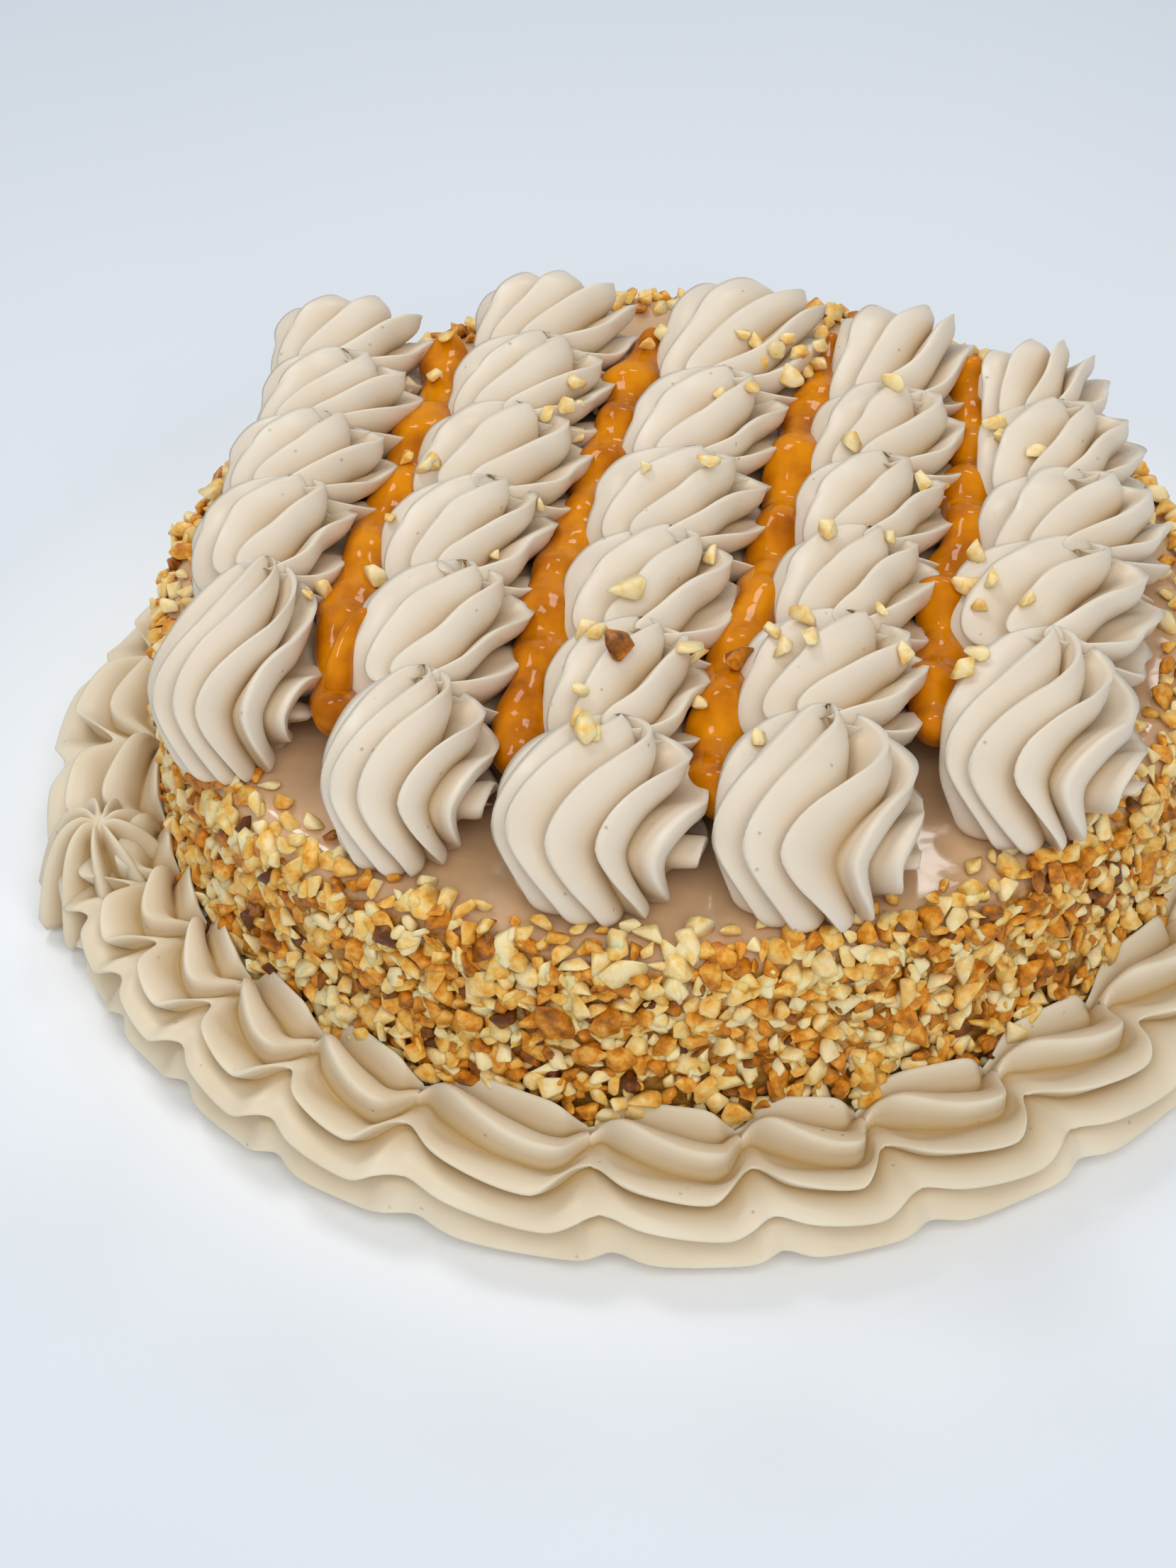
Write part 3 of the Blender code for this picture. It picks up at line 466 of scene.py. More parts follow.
class Border:
    """The foot border: shells piped end to end into one closed ring of ridged cream."""

    def __init__(self, rng):
        def vary(low, high):
            return np.array([rng.uniform(low, high) for _ in range(BORDER_SHELLS)])

        def vary_ridges(low, high):
            return np.array([[rng.uniform(low, high) for _ in range(BORDER_RIDGES)]
                             for _ in range(BORDER_SHELLS)])

        self.joints = border_joints(rng)
        self.size = vary(0.97, 1.03)
        self.droop = vary(0.85, 1.15)
        self.gain = vary_ridges(0.85, 1.15)
        self.shift = vary_ridges(-0.07, 0.07)
        self.painted_shade = None

    def points(self, stations, across):
        """Grid of points around the whole ring: one row for each station of each shell."""
        k = np.repeat(np.arange(BORDER_SHELLS), len(stations))
        after = (k + 1) % BORDER_SHELLS
        s = np.tile(np.array(stations), BORDER_SHELLS)[:, None]
        blend = ease(s)
        ridge = np.repeat(np.arange(BORDER_RIDGES), len(across))[None, :]
        p = np.tile(np.array(across), BORDER_RIDGES)[None, :]
        size = self.size[k][:, None] * (1.0 - blend) + self.size[after][:, None] * blend
        gain = self.gain[k][:, ridge[0]] * (1.0 - blend) + self.gain[after][:, ridge[0]] * blend
        shift = self.shift[k][:, ridge[0]] * (1.0 - blend) + self.shift[after][:, ridge[0]] * blend
        base = TURN * (ridge + p - BORDER_LIP + shift) / BORDER_RIDGES + BORDER_TURN
        base = (base + math.pi) % TURN - math.pi
        psi = base + self.drift(base, s, self.droop[k][:, None])
        waist = np.exp(-np.minimum(s / 0.15, (1.0 - s) / 0.12) ** 2)
        fan = blunt(s / 0.30, 1.6) * (1.0 - 0.62 * np.clip((s - 0.30) / 0.70, 0.0, 1.0) ** 1.5)
        angle = psi + 0.10 * np.exp(-((p - BORDER_LIP) / 0.16) ** 2)
        sine, cosine = np.sin(angle), np.cos(angle)
        inner = sine < 0
        lean = 0.20 * ease((psi + 0.1) / 1.7) - 0.05 * ease(-psi)
        turn = self.angle_at(k[:, None] + s + lean)
        degrees = np.degrees(turn)
        narrow = ease((NARROW_FROM - degrees) / NARROW_BLEND) * ease((degrees - NARROW_TO) / NARROW_BLEND)
        path = BORDER_PATH_RADIUS - BORDER_JOINT_SHIFT * waist - 0.4 * NARROW_LOSS * narrow
        outward = BORDER_OUTWARD + BORDER_JOINT_SHIFT * waist - 0.6 * NARROW_LOSS * narrow
        reach = np.where(inner, path - BORDER_INNER_RADIUS + 1.0 * MM, outward)
        rise = np.where(cosine > 0, BORDER_RISE, BORDER_AXIS_HEIGHT)
        flatness = np.where(cosine > 0, np.where(inner, 0.46, 1.0), 2.0 / ROUNDNESS_BELOW)
        loss = np.maximum(0.36 * np.exp(-(angle / 0.9) ** 2), 0.13 * ease((angle - 0.2) / 0.9))
        loss = np.where(inner, 0.40, loss)
        swell = 1.0 + 0.34 * fan * ease((-angle + 0.15) / 0.75)
        bare = ease((np.cos(psi) + 0.75) / 0.5)
        depth = 0.49 + 0.08 * np.exp(-((s - 0.12) / 0.09) ** 2) + 0.08 * np.exp(-((s - 0.80) / 0.12) ** 2)
        depth = depth * gain * bare * (1.0 - 0.45 * waist)
        # Painted shade on the border: darker and warmer from each lip down into the crease.
        self.painted_shade = painted_crease_shade(p, BORDER_LIP) + 0.0 * s
        rho = size * (1.0 - waist * loss) * (1.0 - depth * (1.0 - self.relief(p)))
        radius = path + reach * np.where(inner, sine * (1.35 - 0.35 * sine ** 2) * rho ** 0.5, sine * rho)
        radius = np.maximum(radius, BORDER_INNER_RADIUS)
        lift = rise * signed_power(cosine, flatness) * np.where(cosine > 0, rho * swell, 1.0)
        height = np.maximum(BORDER_AXIS_HEIGHT + lift, 0.0)
        return np.stack([radius * np.cos(turn), radius * np.sin(turn), height], axis=-1)

    def angle_at(self, place):
        """Angle around the cake for a place counted in shells, which can run past the last joint."""
        laps = np.floor(place / BORDER_SHELLS)
        steps = np.arange(BORDER_SHELLS + 1)
        return np.interp(place - laps * BORDER_SHELLS, steps, self.joints) + laps * TURN

    @staticmethod
    def relief(p):
        """0 in the crease, 1 on the lip: a hollow face that rises to the lip, then drops steeply."""
        rising = np.clip(p / BORDER_LIP, 0.0, 1.0)
        falling = np.clip((p - BORDER_LIP) / (1.0 - BORDER_LIP), 0.0, 1.0)
        face = 0.34 * rising + 0.66 * ease(rising ** 1.6)
        return np.where(p < BORDER_LIP, face, (1.0 - falling ** 1.6) ** 1.4)

    @staticmethod
    def drift(base, s, amount):
        """How far the ridges have sunk outward at s: a slow droop, then a quick return at the joint."""
        outward = ease((base - 0.05) / 0.50)
        swing = 0.50 - 0.10 * ease(base / 0.4) - 0.14 * ease((base - 0.6) / 0.5)
        t = (s - 0.10) % 1.0
        sinking = np.sin(0.5 * math.pi * np.minimum(t / 0.76, 1.0))
        quick = np.where(t < 0.76, sinking, 1.0 - ease((t - 0.76) / 0.24))
        t = (s + 0.07) % 1.0
        slow = np.where(t < 0.72, ease(t / 0.72), 1.0 - ease((t - 0.72) / 0.28))
        droop = quick + (slow - quick) * outward
        return swing * amount * (droop - 0.6 + 0.15 * ease(base / 0.4))


def star_points():
    """Grid of points of the star, from its pinched tip down to its foot, and the shade painted into its
    creases.
    """
    rng = random.Random(SEED + 25)
    q = np.concatenate([np.linspace(0.0, 1.0, STAR_STEPS) ** 1.2, [1.0, 1.0]])[:, None]
    sink = np.concatenate([np.zeros(STAR_STEPS), [0.6, 1.0]])[:, None]
    ridge = np.repeat(np.arange(STAR_RIDGES), len(STAR_ACROSS))[None, :]
    p = np.tile(np.array(STAR_ACROSS), STAR_RIDGES)[None, :]
    shift = np.array([rng.uniform(-0.12, 0.12) for _ in range(STAR_RIDGES)])[ridge]
    gain = np.array([rng.uniform(0.85, 1.12) for _ in range(STAR_RIDGES)])[ridge]
    rising = ease(p / STAR_LIP)
    relief = rising * (1.0 - ease((p - STAR_LIP) / (1.0 - STAR_LIP)))
    around = TURN * (ridge + p + shift * relief) / STAR_RIDGES + STAR_TWIST * q
    open_up = ease(q / 0.30)
    rho = 1.0 - 0.36 * gain * (1.0 - relief) * open_up
    reach = q ** 0.85 * rho * (1.0 - 0.10 * sink)
    groove = STAR_GROOVE * gain * (1.0 - relief) * open_up * (1.0 - 0.4 * q)
    dip = STAR_DIMPLE * np.exp(-(q / 0.10) ** 2) + groove
    dome = (STAR_TOP - STAR_FOOT) * (1.0 - q ** 2.6) + STAR_FOOT * (1.0 - sink)
    height = dome - dip * (1.0 - sink) * (1.0 - q ** 8)
    outward = STAR_SIZE[0] * reach * np.cos(around)
    along = STAR_SIZE[1] * reach * np.sin(around)
    cos_turn, sin_turn = math.cos(STAR_ANGLE), math.sin(STAR_ANGLE)
    x = (STAR_RADIUS + outward) * cos_turn - along * sin_turn
    y = (STAR_RADIUS + outward) * sin_turn + along * cos_turn
    points = np.stack([x, y, np.maximum(height, 0.0)], axis=-1)
    # The second value is painted shade, strongest in the star's creases.
    return points, (1.0 - relief) * open_up + 0.0 * q


def make_border(surface):
    t = np.arange(BORDER_STEPS) / BORDER_STEPS
    stations = np.where(t < 0.62, t / 0.62 * 0.84, 0.84 + (t - 0.62) / 0.38 * 0.16)
    border = Border(random.Random(SEED + 20))
    star, star_painted_shade = star_points()
    verts, faces = joined([loft(border.points(stations, BORDER_ACROSS), True), loft(star, False)])
    obj = add_object("foot_border", verts, faces, surface)
    add_painted_shade(obj, np.concatenate([border.painted_shade.ravel(), [0.5], star_painted_shade[1:-1].ravel(), [1.0]]))
    face_outward(obj)
    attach(obj, "root")
    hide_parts("base_border")


def make_glaze(surface):
    """The glazed drum: a flat top, a rounded shoulder and a wall, all a little uneven."""
    rng = random.Random(SEED + 30)
    flat_radius = GLAZE_RADIUS - SHOULDER_RADIUS
    profile = [(flat_radius * t, CAKE_TOP) for t in np.linspace(0.0, 1.0, GLAZE_TOP_RINGS)]
    for k in range(1, GLAZE_SHOULDER_RINGS + 1):
        turn = 0.5 * math.pi * k / GLAZE_SHOULDER_RINGS
        profile.append((GLAZE_RADIUS - SHOULDER_RADIUS * (1.0 - math.sin(turn)),
                        CAKE_TOP - SHOULDER_RADIUS * (1.0 - math.cos(turn))))
    for z in np.linspace(CAKE_TOP - SHOULDER_RADIUS, 0.0, GLAZE_WALL_RINGS)[1:]:
        profile.append((GLAZE_RADIUS, float(z)))
    angles = np.arange(GLAZE_COLUMNS) * TURN / GLAZE_COLUMNS
    waves = [(rng.randint(2, 9), rng.uniform(0, TURN), rng.uniform(0.05, 0.22) * MM)
             for _ in range(GLAZE_WAVES)]
    rows = []
    for r, z in profile[1:-1]:
        radius = np.full(GLAZE_COLUMNS, r)
        height = np.full(GLAZE_COLUMNS, z)
        share = r / GLAZE_RADIUS
        for count, phase, size in waves:
            wave = size * np.sin(count * angles + phase + 3.0 * share)
            radius = radius + wave * (share > 0.5)
            height = height + 0.7 * wave * share ** 2 * (z > CAKE_TOP - 2.0 * MM)
        rows.append(np.stack([radius * np.cos(angles), radius * np.sin(angles), height], axis=-1))
    points = np.array(rows)
    top = np.zeros((1, GLAZE_COLUMNS, 3))
    top[..., 2] = CAKE_TOP
    low = points[-1:].copy()
    low[..., 2] = 0.0
    foot = np.zeros((1, GLAZE_COLUMNS, 3))
    verts, faces = loft(np.concatenate([top, points, low, foot]), False)
    obj = add_object("glaze", verts, faces, surface)
    face_outward(obj)
    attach(obj, "root")
    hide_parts("cake_body")


def in_fixed_order(verts, faces):
    """The same triangles, sorted, because a convex hull lists them in another order on each run."""
    order = np.lexsort(verts.T)
    faces = np.argsort(order)[faces]
    corners = (faces.argmin(axis=1)[:, None] + np.arange(3)) % 3
    faces = np.take_along_axis(faces, corners, axis=1)
    return verts[order], faces[np.lexsort(faces.T)]


def chip_shapes(rng, count):
    """Broken nut pieces: lumps with flat breaks and sharp edges. Each is about 1 across."""
    shapes = []
    for _ in range(count):
        edit = bmesh.new()
        stretch = (rng.uniform(0.95, 1.35), rng.uniform(0.75, 1.05), rng.uniform(0.55, 0.9))
        corners = []
        while len(corners) < rng.randint(*CHIP_CORNERS):
            spot = Vector([rng.gauss(0, 1) for _ in range(3)]).normalized() * rng.uniform(0.46, 0.60)
            if all((spot - other).length > CHIP_CORNERS_APART for other in corners):
                corners.append(spot)
        for spot in corners:
            edit.verts.new([spot[i] * stretch[i] for i in range(3)])
        hull = bmesh.ops.convex_hull(edit, input=edit.verts[:])
        spare = dict.fromkeys(hull["geom_interior"] + hull["geom_unused"])
        bmesh.ops.delete(edit, geom=list(spare), context="VERTS")
        bmesh.ops.bevel(edit, geom=edit.edges[:], offset=CHIP_EDGE, segments=1, profile=0.5, affect="EDGES",
                        clamp_overlap=True)
        bmesh.ops.triangulate(edit, faces=edit.faces[:])
        bmesh.ops.recalc_face_normals(edit, faces=edit.faces[:])
        edit.verts.index_update()
        verts = np.array([v.co[:] for v in edit.verts])
        faces = np.array([[v.index for v in f.verts] for f in edit.faces])
        edit.free()
        verts, faces = in_fixed_order(verts, faces)
        shapes.append((verts - verts.mean(axis=0), faces))
    return shapes


def random_turn(rng):
    """A rotation matrix, each direction as likely as any other."""
    return np.array(Quaternion([rng.gauss(0, 1) for _ in range(4)]).normalized().to_matrix())


def nut_pieces(name, rng, shapes, places, surface):
    """One mesh of chips. Each place is (position, outward direction, size, toast)."""
    verts = []
    faces = []
    toasts = []
    count = 0
    for position, outward, size, toast in places:
        shape_verts, shape_faces = rng.choice(shapes)
        turned = shape_verts @ random_turn(rng).T
        along = turned @ outward
        turned = turned - np.outer(along * 0.25, outward)
        verts.append(turned * size + position)
        faces.append(shape_faces + count)
        toasts.append(np.tile([toast, rng.random(), rng.random(), 1.0], (len(shape_verts), 1)))
        count += len(shape_verts)
    obj = add_object(name, np.concatenate(verts), np.concatenate(faces).tolist(), surface)
    layer = obj.data.color_attributes.new("toast", "FLOAT_COLOR", "POINT")
    layer.data.foreach_set("color", np.concatenate(toasts).ravel())
    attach(obj, "root")
    return obj


def spread(rng, count, draw, apart):
    """Points drawn one by one, each kept only where it is far enough from the others."""
    kept = []
    cells = {}
    tries = 0
    while len(kept) < count and tries < 60 * count:
        tries += 1
        place = draw()
        key = tuple(int(math.floor(c / apart)) for c in place[0])
        near = False
        for step in itertools.product((-1, 0, 1), repeat=3):
            for other in cells.get(tuple(k + d for k, d in zip(key, step)), ()):
                near = near or np.sum((other - place[0]) ** 2) < apart ** 2
        if not near:
            cells.setdefault(key, []).append(place[0])
            kept.append(place)
    return kept


def nut_size(rng, sizes):
    """A random size in metres, from the mean, the smallest and the largest in millimetres."""
    mean, smallest, largest = sizes
    return min(max(rng.gauss(mean, 1.0), smallest), largest) * MM


def make_wall_nuts(surface, shapes):
    """The coat of chopped nuts, in two meshes: on the wall, over the shoulder and thinly on the rim."""
    rng = random.Random(SEED + 40)

    def toast_level(pale):
        level = rng.random() ** TOAST_LEAN
        if rng.random() < DARK_SHARE:
            level = 1.0 + 0.5 * rng.random()
        return level * (PALE_TOAST if pale else 1.0)

    def on_wall():
        angle = rng.uniform(0.0, TURN)
        z = rng.uniform(WALL_NUTS_FROM, CAKE_TOP - 4.0 * MM)
        out = np.array([math.cos(angle), math.sin(angle), 0.0])
        size = nut_size(rng, WALL_NUT_SIZE)
        thicker = THICKER_BY * float(ease((THICKER_BELOW - z) / THICKER_BLEND))
        depth = rng.uniform(-0.10, 0.34) * size + thicker
        position = out * (GLAZE_RADIUS + depth) + np.array([0.0, 0.0, z])
        return position, out, size, toast_level(False)

    def on_shoulder():
        angle = rng.uniform(0.0, TURN)
        turn = math.radians(28.0 + 62.0 * rng.random() ** 0.8)
        out = np.array([math.cos(angle) * math.sin(turn), math.sin(angle) * math.sin(turn), math.cos(turn)])
        size = nut_size(rng, SHOULDER_NUT_SIZE)
        radius = SHOULDER_RADIUS + 0.22 * size
        base = GLAZE_RADIUS - SHOULDER_RADIUS
        position = np.array([math.cos(angle) * base, math.sin(angle) * base, CAKE_TOP - SHOULDER_RADIUS])
        return position + out * radius, out, size, toast_level(turn < 0.9)

    def on_rim():
        angle = rng.uniform(0.0, TURN)
        size = nut_size(rng, RIM_NUT_SIZE)
        radius = GLAZE_RADIUS - 1.6 * MM - 5.6 * MM * rng.random() ** 1.5
        position = np.array([math.cos(angle) * radius, math.sin(angle) * radius, CAKE_TOP + 0.20 * size])
        return position, np.array([0.0, 0.0, 1.0]), size, toast_level(True)

    places = []
    for count, apart in WALL_NUTS:
        places += spread(rng, count, on_wall, apart)
    places += spread(rng, SHOULDER_NUTS[0], on_shoulder, SHOULDER_NUTS[1])
    places += spread(rng, RIM_NUTS[0], on_rim, RIM_NUTS[1])
    for index in (0, 1):
        obj = nut_pieces("chopped_nuts_" + str(index + 1), rng, shapes, places[index::2], surface)
        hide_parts("cake_body")


# Nut pieces on top, as places in the photograph: across, down, size in millimetres, toast 0 to 1.5
TOP_NUTS = [
    (454, 846, 7, 0.25), (437, 846, 4, 0.2), (526, 818, 4.5, 0.15), (553, 735, 3.5, 0.3),
    (603, 664, 4.5, 0.2), (575, 653, 3.5, 0.5), (612, 653, 3.5, 0.4), (581, 553, 4.5, 0.2),
    (614, 537, 4.5, 0.3), (630, 481, 4, 0.5), (664, 481, 4, 0.3), (774, 586, 3.5, 0.4),
    (807, 542, 4.5, 0.3), (824, 581, 5, 0.2), (796, 575, 4, 0.35), (813, 625, 5.5, 0.25),
    (841, 586, 4, 0.3), (763, 713, 4, 0.2), (887, 838, 7.5, 0.05), (868, 918, 6.5, 1.1),
    (824, 891, 4.5, 0.2), (841, 896, 4.5, 0.3), (819, 979, 5, 0.2), (813, 1015, 5, 0.35),
    (824, 1035, 5.5, 0.25), (838, 1040, 4.5, 0.3), (962, 921, 5.5, 0.15), (985, 935, 4.5, 0.25),
    (990, 996, 4.5, 0.3), (1006, 790, 5, 0.15), (996, 658, 5.5, 0.3), (912, 664, 3.5, 0.2),
    (929, 476, 4.5, 0.3), (915, 492, 3.5, 0.5), (1045, 476, 4.5, 0.25), (1062, 488, 4.5, 0.3),
    (1090, 498, 5, 0.2), (1106, 481, 4.5, 0.3), (1129, 503, 4, 0.35), (1156, 520, 5, 0.25),
    (1150, 492, 4.5, 0.2), (1079, 525, 5, 0.3), (1112, 536, 5.5, 0.25), (1161, 476, 4, 0.4),
    (1056, 553, 4.5, 0.3), (1140, 531, 4.5, 0.4), (1040, 941, 5.5, 1.05), (1134, 879, 6, 0.25),
    (1145, 907, 4.5, 0.15), (1090, 896, 4, 0.2), (1106, 918, 4.5, 0.15), (1167, 758, 5.5, 0.2),
    (1200, 625, 4, 0.3), (1250, 763, 4, 0.3), (1261, 547, 4.5, 0.25), (1305, 686, 4.5, 0.2),
    (1333, 692, 4.5, 0.25), (1272, 924, 4.5, 0.2), (1405, 603, 5, 0.35), (1410, 620, 4, 0.3),
    (1377, 785, 4.5, 0.3), (1366, 835, 6, 0.3), (1399, 824, 4.5, 0.25), (1383, 929, 4.5, 0.2),
    (1360, 951, 5, 0.3), (1449, 852, 4.5, 0.15), (1460, 642, 4.5, 0.2), (1068, 1046, 4, 0.15),
    (1383, 860, 4, 0.4), (1241, 863, 4, 0.2), (700, 790, 3.5, 0.2), (1012, 560, 3.5, 0.3),
]


# How the scattered pieces lie: lifted by this share of their size, turned up, and a little larger and paler
TOP_NUT_LIFT = 0.28
TOP_NUT_UPWARD = 0.6
TOP_NUT_SCALE = 1.08
TOP_NUT_PALER = 0.16


def camera_axes():
    """The camera's right, up and forward directions."""
    cos_yaw, sin_yaw = math.cos(CAMERA_YAW), math.sin(CAMERA_YAW)
    forward = Vector((-sin_yaw * math.cos(CAMERA_PITCH), cos_yaw * math.cos(CAMERA_PITCH),
                      -math.sin(CAMERA_PITCH)))
    level = Vector((cos_yaw, sin_yaw, 0.0))
    upright = level.cross(forward)
    cos_roll, sin_roll = math.cos(CAMERA_ROLL), math.sin(CAMERA_ROLL)
    right = level * cos_roll + upright * sin_roll
    up = upright * cos_roll - level * sin_roll
    return right, up, forward


def make_top_nuts(surface, shapes, rows, caramels):
    """Each piece lies on what the photograph shows it on: a shell or a band of caramel."""
    rng = random.Random(SEED + 50)
    right, up, forward = camera_axes()
    eye = CAMERA_TARGET - forward * CAMERA_DISTANCE
    scale = CAMERA_LENS / SENSOR * IMAGE[1]
    trees = []
    for obj in rows + caramels:
        trees.append(BVHTree.FromPolygons([v.co for v in obj.data.vertices],
                                          [p.vertices for p in obj.data.polygons]))
    places = []
    for across, down, size, toast in TOP_NUTS:
        ray = forward + right * ((across - IMAGE[0] / 2) / scale) - up * ((down - IMAGE[1] / 2) / scale)
        ray.normalize()
        hits = [tree.ray_cast(eye, ray) for tree in trees]
        hits = [hit for hit in hits if hit[0] is not None]
        if not hits:
            continue
        spot, normal = min(hits, key=lambda hit: hit[3])[:2]
        outward = np.array(normal)
        if outward[2] < 0:
            outward = -outward
        outward = outward + np.array([0.0, 0.0, TOP_NUT_UPWARD])
        outward = outward / np.linalg.norm(outward)
        position = np.array(spot) + outward * size * MM * TOP_NUT_LIFT
        toast = toast - TOP_NUT_PALER if toast < 0.6 else toast
        places.append((position, outward, size * TOP_NUT_SCALE * MM, toast))
    obj = nut_pieces("scattered_nuts", rng, shapes, places, surface)
    for name in ROWS:
        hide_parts(name)


def make_drop(spine, thickness):
    """A short thick run of caramel along a spine of points, rounded at both ends."""
    spots = np.array(spine) * MM
    t = np.linspace(0.0, 1.0, DROP_STEPS + 1)
    known = np.linspace(0.0, 1.0, len(spots))
    line = np.stack([np.interp(t, known, spots[:, i]) for i in range(3)], axis=-1)
    for _ in range(6):
        line[1:-1] = 0.25 * line[:-2] + 0.5 * line[1:-1] + 0.25 * line[2:]
    along = np.gradient(line, axis=0)
    along /= np.linalg.norm(along, axis=1)[:, None]
    across = np.cross(along, np.array([0.0, 0.0, 1.0]))
    across /= np.linalg.norm(across, axis=1)[:, None]
    over = np.cross(across, along)
    ends = np.sqrt(np.clip(1.0 - (2.0 * t - 1.0) ** 6, 0.0, 1.0))
    reach = thickness * ends * (0.72 + 0.34 * ease((t - 0.3) / 0.6))
    turn = np.arange(DROP_COLUMNS) * TURN / DROP_COLUMNS
    ring = np.cos(turn)[None, :, None] * across[:, None, :] + np.sin(turn)[None, :, None] * over[:, None, :]
    return loft(line[:, None, :] + reach[:, None, None] * ring, False)


def make_caramel(name, rng, surface):
    """A thick glossy stream in the valley between two rows, wider where the shells' waists let it out."""
    names = list(ROWS)
    index = list(CARAMEL_BANDS).index(name)
    left, right = names[index], names[index + 1]
    front, back = CARAMEL_BANDS[name]
    lean = FIRST_BAND_LEAN if index == 0 else 0.0
    joints = [joint[1] for joint in ROWS[left] + ROWS[right]]
    rows = []
    wobble = [(rng.uniform(0.10, 0.55), rng.uniform(0, TURN), rng.uniform(0.3, 1.0)) for _ in range(6)]
    for k in range(CARAMEL_STEPS + 1):
        share = k / CARAMEL_STEPS
        y = front + (back - front) * share
        end = math.sqrt(max(0.0, 1.0 - (2.0 * share - 1.0) ** 16))
        middle = float(valley(left, right, y * MM))
        waist = max(math.exp(-((y - joint) / WAIST_REACH) ** 2) for joint in joints)
        lumps = sum(size * math.sin(rate * y + phase) for rate, phase, size in wobble) / 3.0
        half = (CARAMEL_HALF + CARAMEL_SPILL * waist + CARAMEL_BULGE * lumps) * MM * end
        top = CARAMEL_TOP + (CARAMEL_LUMP * lumps - CARAMEL_SAG * waist) * MM
        if share < 0.08:
            top -= FRONT_DIP * MM * (1.0 - share / 0.08) ** 2
        rise = CARAMEL_RISE * max(end, 0.15)
        middle += 0.5 * MM * math.sin(0.21 * y + 1.7 * index) + lean * float(ease(1.0 - share / 0.2))
        centre = top - rise
        ring = []
        for j in range(CARAMEL_COLUMNS):
            turn = TURN * j / CARAMEL_COLUMNS
            sine, cosine = math.sin(turn), math.cos(turn)
            drop = rise if cosine > 0 else CARAMEL_DEPTH * max(end, 0.15)
            ring.append((middle + half * sine, y * MM, CAKE_TOP + centre + drop * cosine))
        rows.append(ring)
    parts = [loft(np.array(rows), False)]
    if index == 0:
        parts.append(make_drop(CARAMEL_DROP, DROP_THICKNESS))
    verts, faces = joined(parts)
    obj = add_object("caramel_flow_" + str(index + 1), verts, faces, surface)
    face_outward(obj)
    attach(obj, "root")
    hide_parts(name)
    return obj


class Nodes:
    """A material's nodes and links, in short calls."""

    def __init__(self, name):
        self.material = bpy.data.materials.new(name)
        self.material.use_nodes = True
        self.tree = self.material.node_tree
        self.shader = self.tree.nodes["Principled BSDF"]

    def add(self, kind, **inputs):
        node = self.tree.nodes.new(kind)
        for key, value in inputs.items():
            node.inputs[key.replace("_", " ")].default_value = value
        return node

    def values(self, **inputs):
        """Sets the shader's own values, the same all over the material."""
        for key, value in inputs.items():
            self.shader.inputs[key.replace("_", " ")].default_value = value

    def link(self, output, target):
        self.tree.links.new(output, target)

    def feed(self, sockets, values):
        """Links each socket to an output, or sets it to a number or a colour."""
        for socket, value in zip(sockets, values):
            if isinstance(value, bpy.types.NodeSocket):
                self.link(value, socket)
            else:
                socket.default_value = (*value, 1.0) if isinstance(value, tuple) else value

    def place(self):
        return self.add("ShaderNodeTexCoord").outputs["Object"]

    def noise(self, scale, detail=3.0, rough=0.55):
        node = self.add("ShaderNodeTexNoise", Scale=scale, Detail=detail, Roughness=rough)
        self.link(self.place(), node.inputs["Vector"])
        return node.outputs["Fac"]

    def ramp(self, source, stops):
        node = self.add("ShaderNodeValToRGB")
        ramp = node.color_ramp
        while len(ramp.elements) < len(stops):
            ramp.elements.new(0.5)
        for element, (spot, colour) in zip(ramp.elements, stops):
            element.position = spot
            element.color = (*colour, 1.0)
        self.link(source, node.inputs["Fac"])
        return node.outputs["Color"]

    def mix(self, factor, first, second, blend="MIX"):
        node = self.tree.nodes.new("ShaderNodeMix")
        node.data_type = "RGBA"
        node.blend_type = blend
        self.feed([i for i in node.inputs if i.enabled], (factor, first, second))
        return [o for o in node.outputs if o.enabled][0]

    def bump(self, height, strength, distance, under=None):
        node = self.add("ShaderNodeBump", Strength=strength, Distance=distance)
        self.link(height, node.inputs["Height"])
        if under is not None:
            self.link(under, node.inputs["Normal"])
        return node.outputs["Normal"]

    def math(self, operation, first, second=0.0, third=0.0):
        node = self.tree.nodes.new("ShaderNodeMath")
        node.operation = operation
        self.feed(node.inputs, (first, second, third))
        return node.outputs[0]


# The two creams, each by its light and deep colours, and the darker, warmer colour of the shade painted into
# its creases
ROW_CREAM = ((0.805, 0.722, 0.605), (0.765, 0.672, 0.545), (0.55, 0.355, 0.155))
BORDER_CREAM = ((0.83, 0.745, 0.59), (0.775, 0.67, 0.495), (0.46, 0.27, 0.065))


